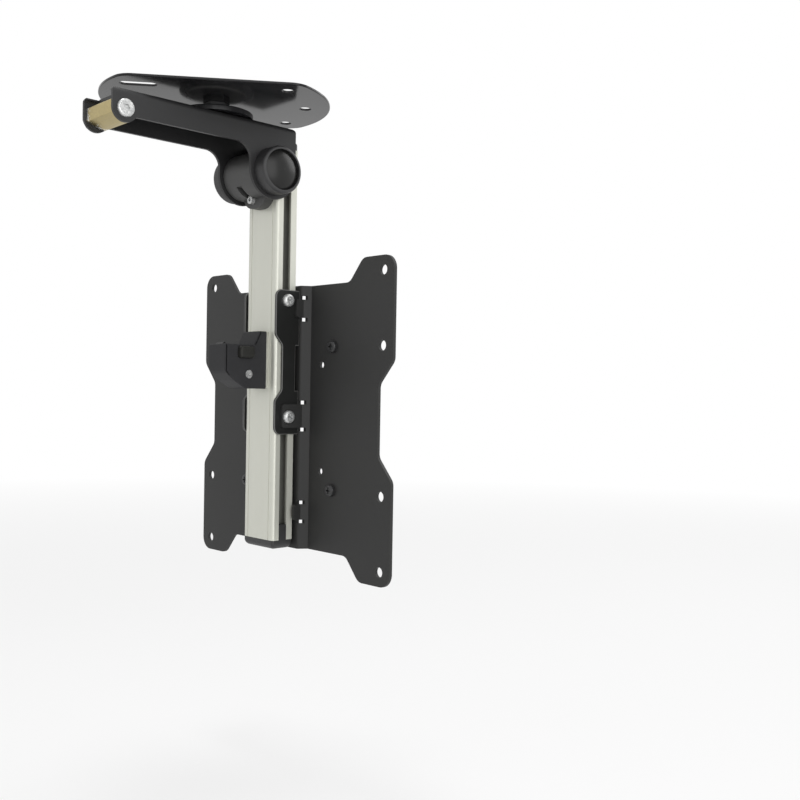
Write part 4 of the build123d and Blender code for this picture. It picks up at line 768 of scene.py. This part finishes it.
@dataclass
class FoldHinge(SubAssembly):
    """The hinge barrel between the cheeks, its caps, plugs and fasteners."""

    title: str = "fold hinge"
    barrel_edge: float = 0.0005

    def dressings(self) -> List[Dressing]:
        """Return how each node of the group is dressed."""
        return [
            Dressing("hinge_barrel", BARREL_GREY, self.barrel_edge),
            Dressing("hinge_cap_near", CAP_BLACK),
            Dressing("hinge_cap_far", CAP_BLACK),
            Dressing("dome_plug_near", DOME_BLACK),
            Dressing("dome_plug_far", DOME_BLACK),
            Dressing("hinge_bolt", DULL_ZINC),
            Dressing("hinge_nut", DULL_ZINC),
            Dressing("tongue_screw", BRIGHT_ZINC),
            Dressing("barrel_bolt", DULL_ZINC),
        ]


@dataclass
class SlottedMast(SubAssembly):
    """The extruded mast with its end caps and slot stops."""

    title: str = "slotted mast"
    lip_edge: float = 0.0002

    def dressings(self) -> List[Dressing]:
        """Return how each node of the group is dressed."""
        return [
            Dressing("mast_profile", MAST_ALLOY, self.lip_edge),
            Dressing("mast_top_cap", CAP_BLACK),
            Dressing("mast_foot_cap", CAP_BLACK),
            Dressing("slot_stops", CAP_BLACK),
        ]


@dataclass
class FoldLatch(SubAssembly):
    """The latch on the mast's back: bracket, housing, button and pawl."""

    title: str = "fold latch"
    housing_edge: float = 0.0003

    def dressings(self) -> List[Dressing]:
        """Return how each node of the group is dressed."""
        return [
            Dressing("latch_bracket", BRACKET_ZINC),
            Dressing("bracket_screws", DULL_ZINC),
            Dressing("latch_housing", LATCH_BLACK, self.housing_edge),
            Dressing("latch_screw", BRIGHT_ZINC),
            Dressing("latch_button", BUTTON_BLACK),
            Dressing("latch_pawl", PAWL_BLACK),
        ]


class ThreadTree:
    """A node tree that winds a screw thread round each point of a grid."""

    INPUTS = {
        "Radius": "NodeSocketFloat",
        "Ridge": "NodeSocketFloat",
        "Turns": "NodeSocketFloat",
        "Length": "NodeSocketFloat",
        "Spread": "NodeSocketFloat",
        "Base": "NodeSocketVector",
        "Turn": "NodeSocketVector",
        "Finish": "NodeSocketMaterial",
    }
    HELIX_STEPS = 24
    RIDGE_SIDES = 3
    STUDS_A_SIDE = 2

    def __init__(self, name: str) -> None:
        """Build the tree with its named inputs."""
        self.group = bpy.data.node_groups.new(name, "GeometryNodeTree")
        face = self.group.interface
        face.new_socket("Geometry", in_out="OUTPUT", socket_type="NodeSocketGeometry")
        self.ids: Dict[str, str] = {}
        for title, kind in self.INPUTS.items():
            socket = face.new_socket(title, in_out="INPUT", socket_type=kind)
            self.ids[title] = socket.identifier
        self.given = self.group.nodes.new("NodeGroupInput")
        self.wire()

    def add(self, kind: str, sockets: Dict[str, Any]) -> bpy.types.Node:
        """Add a node and set or link its inputs.

        Args:
            kind: The node's type.
            sockets: Numbers, or output sockets to link, by input name.

        Returns:
            The node.
        """
        made = self.group.nodes.new(kind)
        for key, given in sockets.items():
            if isinstance(given, bpy.types.NodeSocket):
                self.group.links.new(given, made.inputs[key])
            else:
                made.inputs[key].default_value = given
        return made

    def wire(self) -> None:
        """Wind one thread, repeat it on a grid, turn and place it, and set its material."""
        given = self.given.outputs
        helix = self.add("GeometryNodeCurveSpiral", {
            "Resolution": self.HELIX_STEPS,
            "Rotations": given["Turns"],
            "Start Radius": given["Radius"],
            "End Radius": given["Radius"],
            "Height": given["Length"],
        })
        ridge = self.add("GeometryNodeCurvePrimitiveCircle", {
            "Resolution": self.RIDGE_SIDES,
            "Radius": given["Ridge"],
        })
        thread = self.add("GeometryNodeCurveToMesh", {
            "Curve": helix.outputs[0],
            "Profile Curve": ridge.outputs[0],
            "Fill Caps": True,
        })
        grid = self.add("GeometryNodeMeshGrid", {
            "Size X": given["Spread"],
            "Size Y": given["Spread"],
            "Vertices X": self.STUDS_A_SIDE,
            "Vertices Y": self.STUDS_A_SIDE,
        })
        studs = self.add("GeometryNodeInstanceOnPoints", {
            "Points": grid.outputs[0],
            "Instance": thread.outputs[0],
        })
        placed = self.add("GeometryNodeTransform", {
            "Geometry": studs.outputs[0],
            "Translation": given["Base"],
            "Rotation": given["Turn"],
        })
        real = self.add("GeometryNodeRealizeInstances", {"Geometry": placed.outputs[0]})
        dressed = self.add("GeometryNodeSetMaterial", {
            "Geometry": real.outputs[0],
            "Material": given["Finish"],
        })
        self.add("NodeGroupOutput", {"Geometry": dressed.outputs[0]})

    def piece(self, name: str, inputs: Dict[str, Any]) -> bpy.types.Object:
        """Make a plain mesh piece with the tree.

        Args:
            name: The piece's name.
            inputs: The tree's inputs, by name.

        Returns:
            The piece.
        """
        piece = link_piece(name, bpy.data.meshes.new(name))
        maker = piece.modifiers.new("thread", "NODES")
        maker.node_group = self.group
        for title, given in inputs.items():
            maker[self.ids[title]] = given
        plain_mesh(piece)
        smooth(piece.data)
        piece.data.set_sharp_from_angle(angle=SHARP_ANGLE)
        return piece


@dataclass
class ScreenCarriage(SubAssembly):
    """The sliding screen plate with its guide plates, nuts, pads and screws."""

    title: str = "screen carriage"
    sheet_edge: float = 0.0004
    guide_edge: float = 0.0009
    stud_spread: float = 0.1
    stud_radius: float = 0.002
    stud_pitch: float = 0.0007
    thread_ridge: float = 0.00022
    thread_start: float = 0.0013
    thread_stop: float = 0.0008

    def dressings(self) -> List[Dressing]:
        """Return how each node of the group is dressed."""
        return [
            Dressing("screen_plate", PLATE_BLACK, self.sheet_edge),
            Dressing("guide_plate_near", GUIDE_BLACK, self.guide_edge),
            Dressing("guide_plate_far", GUIDE_BLACK, self.guide_edge),
            Dressing("slot_nuts", DULL_ZINC),
            Dressing("guide_screws", BRIGHT_ZINC),
            Dressing("slide_pads", NYLON),
            Dressing("screen_screws", SCREW_BLACK),
        ]

    def build(self) -> None:
        """Dress the nodes and wind the threads of the screen's studs."""
        super().build()
        _, plate_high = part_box("screen_plate")
        screw_low, screw_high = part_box("screen_screws")
        start = plate_high.y + self.thread_start
        length = screw_high.y - self.thread_stop - start
        threads = ThreadTree("stud_thread").piece("screen_stud_threads", {
            "Radius": self.stud_radius - self.thread_ridge / 2,
            "Ridge": self.thread_ridge,
            "Turns": length / self.stud_pitch,
            "Length": length,
            "Spread": self.stud_spread,
            "Base": (0.0, start, (screw_low.z + screw_high.z) / 2),
            "Turn": (-math.pi / 2, 0.0, 0.0),
            "Finish": SCREW_BLACK.material(),
        })
        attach(threads, "carriage")
        self.coat(threads, SCREW_BLACK, "screen_screws")


@dataclass(frozen=True)
class SoftBox:
    """One large area lamp, aimed at the middle of the part."""

    name: str
    place: Point
    width: float
    height: float
    power: float

    AIM: ClassVar[Point] = (0.0, 0.0, -0.15)

    def build(self) -> None:
        """Add the lamp to the scene."""
        lamp = bpy.data.lights.new(self.name, "AREA")
        lamp.shape = "RECTANGLE"
        lamp.size = self.width
        lamp.size_y = self.height
        lamp.energy = self.power
        holder = bpy.data.objects.new(self.name, lamp)
        holder.location = self.place
        beam = Vector(self.AIM) - Vector(self.place)
        holder.rotation_euler = beam.to_track_quat("-Z", "Y").to_euler()
        holder.visible_camera = False
        bpy.context.scene.collection.objects.link(holder)


@dataclass
class Studio:
    """A pale floor, a white surround and soft lamps."""

    floor_drop: float = 0.16
    floor_half: float = 30.0
    surround: float = 0.55
    floor_glow: float = 0.6
    floor_colour: Colour = (0.9, 0.9, 0.9, 1.0)
    floor_roughness: float = 0.9
    fade: Span = (0.8, 2.6)
    lamps: List[SoftBox] = field(default_factory=lambda: [
        SoftBox("key_light", (-0.55, -1.3, 0.35), 1.2, 1.2, 0.8),
        SoftBox("side_light", (1.4, -0.15, 0.1), 0.9, 1.4, 6.5),
        SoftBox("front_light", (1.15, -0.85, 0.05), 0.4, 1.2, 2.0),
        SoftBox("rim_light", (0.3, 1.2, 0.6), 1.0, 0.8, 4.0),
        SoftBox("top_light", (0.05, -0.1, 1.1), 0.3, 0.3, 6.0),
    ])

    def build(self) -> None:
        """Make the world, the floor and the lamps."""
        self.world()
        self.floor()
        for lamp in self.lamps:
            lamp.build()

    def seen(self, nodes: bpy.types.Nodes, links: bpy.types.NodeLinks) -> bpy.types.NodeSocket:
        """Add nodes that tell rays that show the background from rays that light.

        Args:
            nodes: The tree's nodes.
            links: The tree's links.

        Returns:
            A factor that is 1 for the first and 0 for the others.
        """
        path = nodes.new("ShaderNodeLightPath")
        total = path.outputs["Is Camera Ray"]
        for title in ("Is Glossy Ray", "Is Transmission Ray"):
            either = nodes.new("ShaderNodeMath")
            either.operation = "MAXIMUM"
            links.new(total, either.inputs[0])
            links.new(path.outputs[title], either.inputs[1])
            total = either.outputs[0]
        return total

    def world(self) -> None:
        """Make a surround that lights softly and shows white."""
        world = bpy.data.worlds.new("white_surround")
        world.use_nodes = True
        bpy.context.scene.world = world
        nodes, links = world.node_tree.nodes, world.node_tree.links
        lit = nodes["Background"]
        lit.inputs["Color"].default_value = WHITE
        lit.inputs["Strength"].default_value = self.surround
        white = nodes.new("ShaderNodeBackground")
        white.inputs["Color"].default_value = WHITE
        mix = nodes.new("ShaderNodeMixShader")
        links.new(self.seen(nodes, links), mix.inputs[0])
        links.new(lit.outputs[0], mix.inputs[1])
        links.new(white.outputs[0], mix.inputs[2])
        links.new(mix.outputs[0], nodes["World Output"].inputs["Surface"])

    def floor(self) -> None:
        """Lay a pale floor below the object, which takes its shadow and fades to white far away."""
        low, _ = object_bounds()
        height = low.z - self.floor_drop
        signs = ((-1, -1), (1, -1), (1, 1), (-1, 1))
        mesh = bpy.data.meshes.new("floor")
        spots = [(x * self.floor_half, y * self.floor_half, height) for x, y in signs]
        mesh.from_pydata(spots, [], [(0, 1, 2, 3)])
        floor = link_piece("floor", mesh)
        tree = MaterialTree("pale_floor")
        tree.surface({"Base Color": self.floor_colour, "Roughness": self.floor_roughness})
        glow = tree.nodes.new("ShaderNodeEmission")
        mix = tree.nodes.new("ShaderNodeMixShader")
        measure = {"operation": "LENGTH"}
        distance = tree.node("ShaderNodeVectorMath", measure, {0: tree.place()}, out="Value")
        faded = tree.spread(distance, self.fade)
        glow_share = (1.0 - self.floor_glow) * faded + self.floor_glow
        share = Value(tree, self.seen(tree.nodes, tree.links)) * glow_share
        tree.links.new(share.socket, mix.inputs[0])
        tree.links.new(tree.shader.outputs[0], mix.inputs[1])
        tree.links.new(glow.outputs[0], mix.inputs[2])
        tree.links.new(mix.outputs[0], tree.nodes["Material Output"].inputs["Surface"])
        mesh.materials.append(tree.material)
        floor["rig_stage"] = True


@dataclass(frozen=True)
class ViewPoint:
    """The camera's place, turn in degrees and lens, as solved from the holes' known spacing."""

    place: Point = (0.5810, -0.3783, -0.1947)
    yaw: float = 46.21
    pitch: float = -0.58
    roll: float = 0.97
    lens: float = 44.69
    sensor: float = 36.0
    clip: float = 0.01

    def build(self) -> None:
        """Add the camera and make it the scene's own."""
        yaw, pitch, roll = (math.radians(angle) for angle in (self.yaw, self.pitch, self.roll))
        level = Vector((math.cos(yaw), math.sin(yaw), 0.0))
        ahead = Vector((-math.sin(yaw), math.cos(yaw), 0.0))
        forward = ahead * math.cos(pitch) + Vector((0.0, 0.0, math.sin(pitch)))
        upright = level.cross(forward)
        right = level * math.cos(roll) + upright * math.sin(roll)
        up = upright * math.cos(roll) - level * math.sin(roll)
        data = bpy.data.cameras.new("camera")
        data.sensor_width = self.sensor
        data.lens = self.lens
        data.clip_start = self.clip
        camera = bpy.data.objects.new("camera", data)
        bpy.context.scene.collection.objects.link(camera)
        turn = Matrix((right, up, -forward)).transposed().to_4x4()
        camera.matrix_world = Matrix.Translation(self.place) @ turn
        bpy.context.scene.camera = camera


def main() -> None:
    """Dress the sub-assemblies, then set the studio and the camera."""
    logging.basicConfig(level=logging.INFO, format="%(message)s")
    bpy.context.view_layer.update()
    bpy.context.scene.view_settings.view_transform = "Standard"
    groups = [CeilingSwivel(), DropArm(), FoldHinge(), SlottedMast(), FoldLatch(), ScreenCarriage()]
    for group in groups:
        group.build()
    Studio().build()
    ViewPoint().build()


if __name__ == "__main__":
    main()
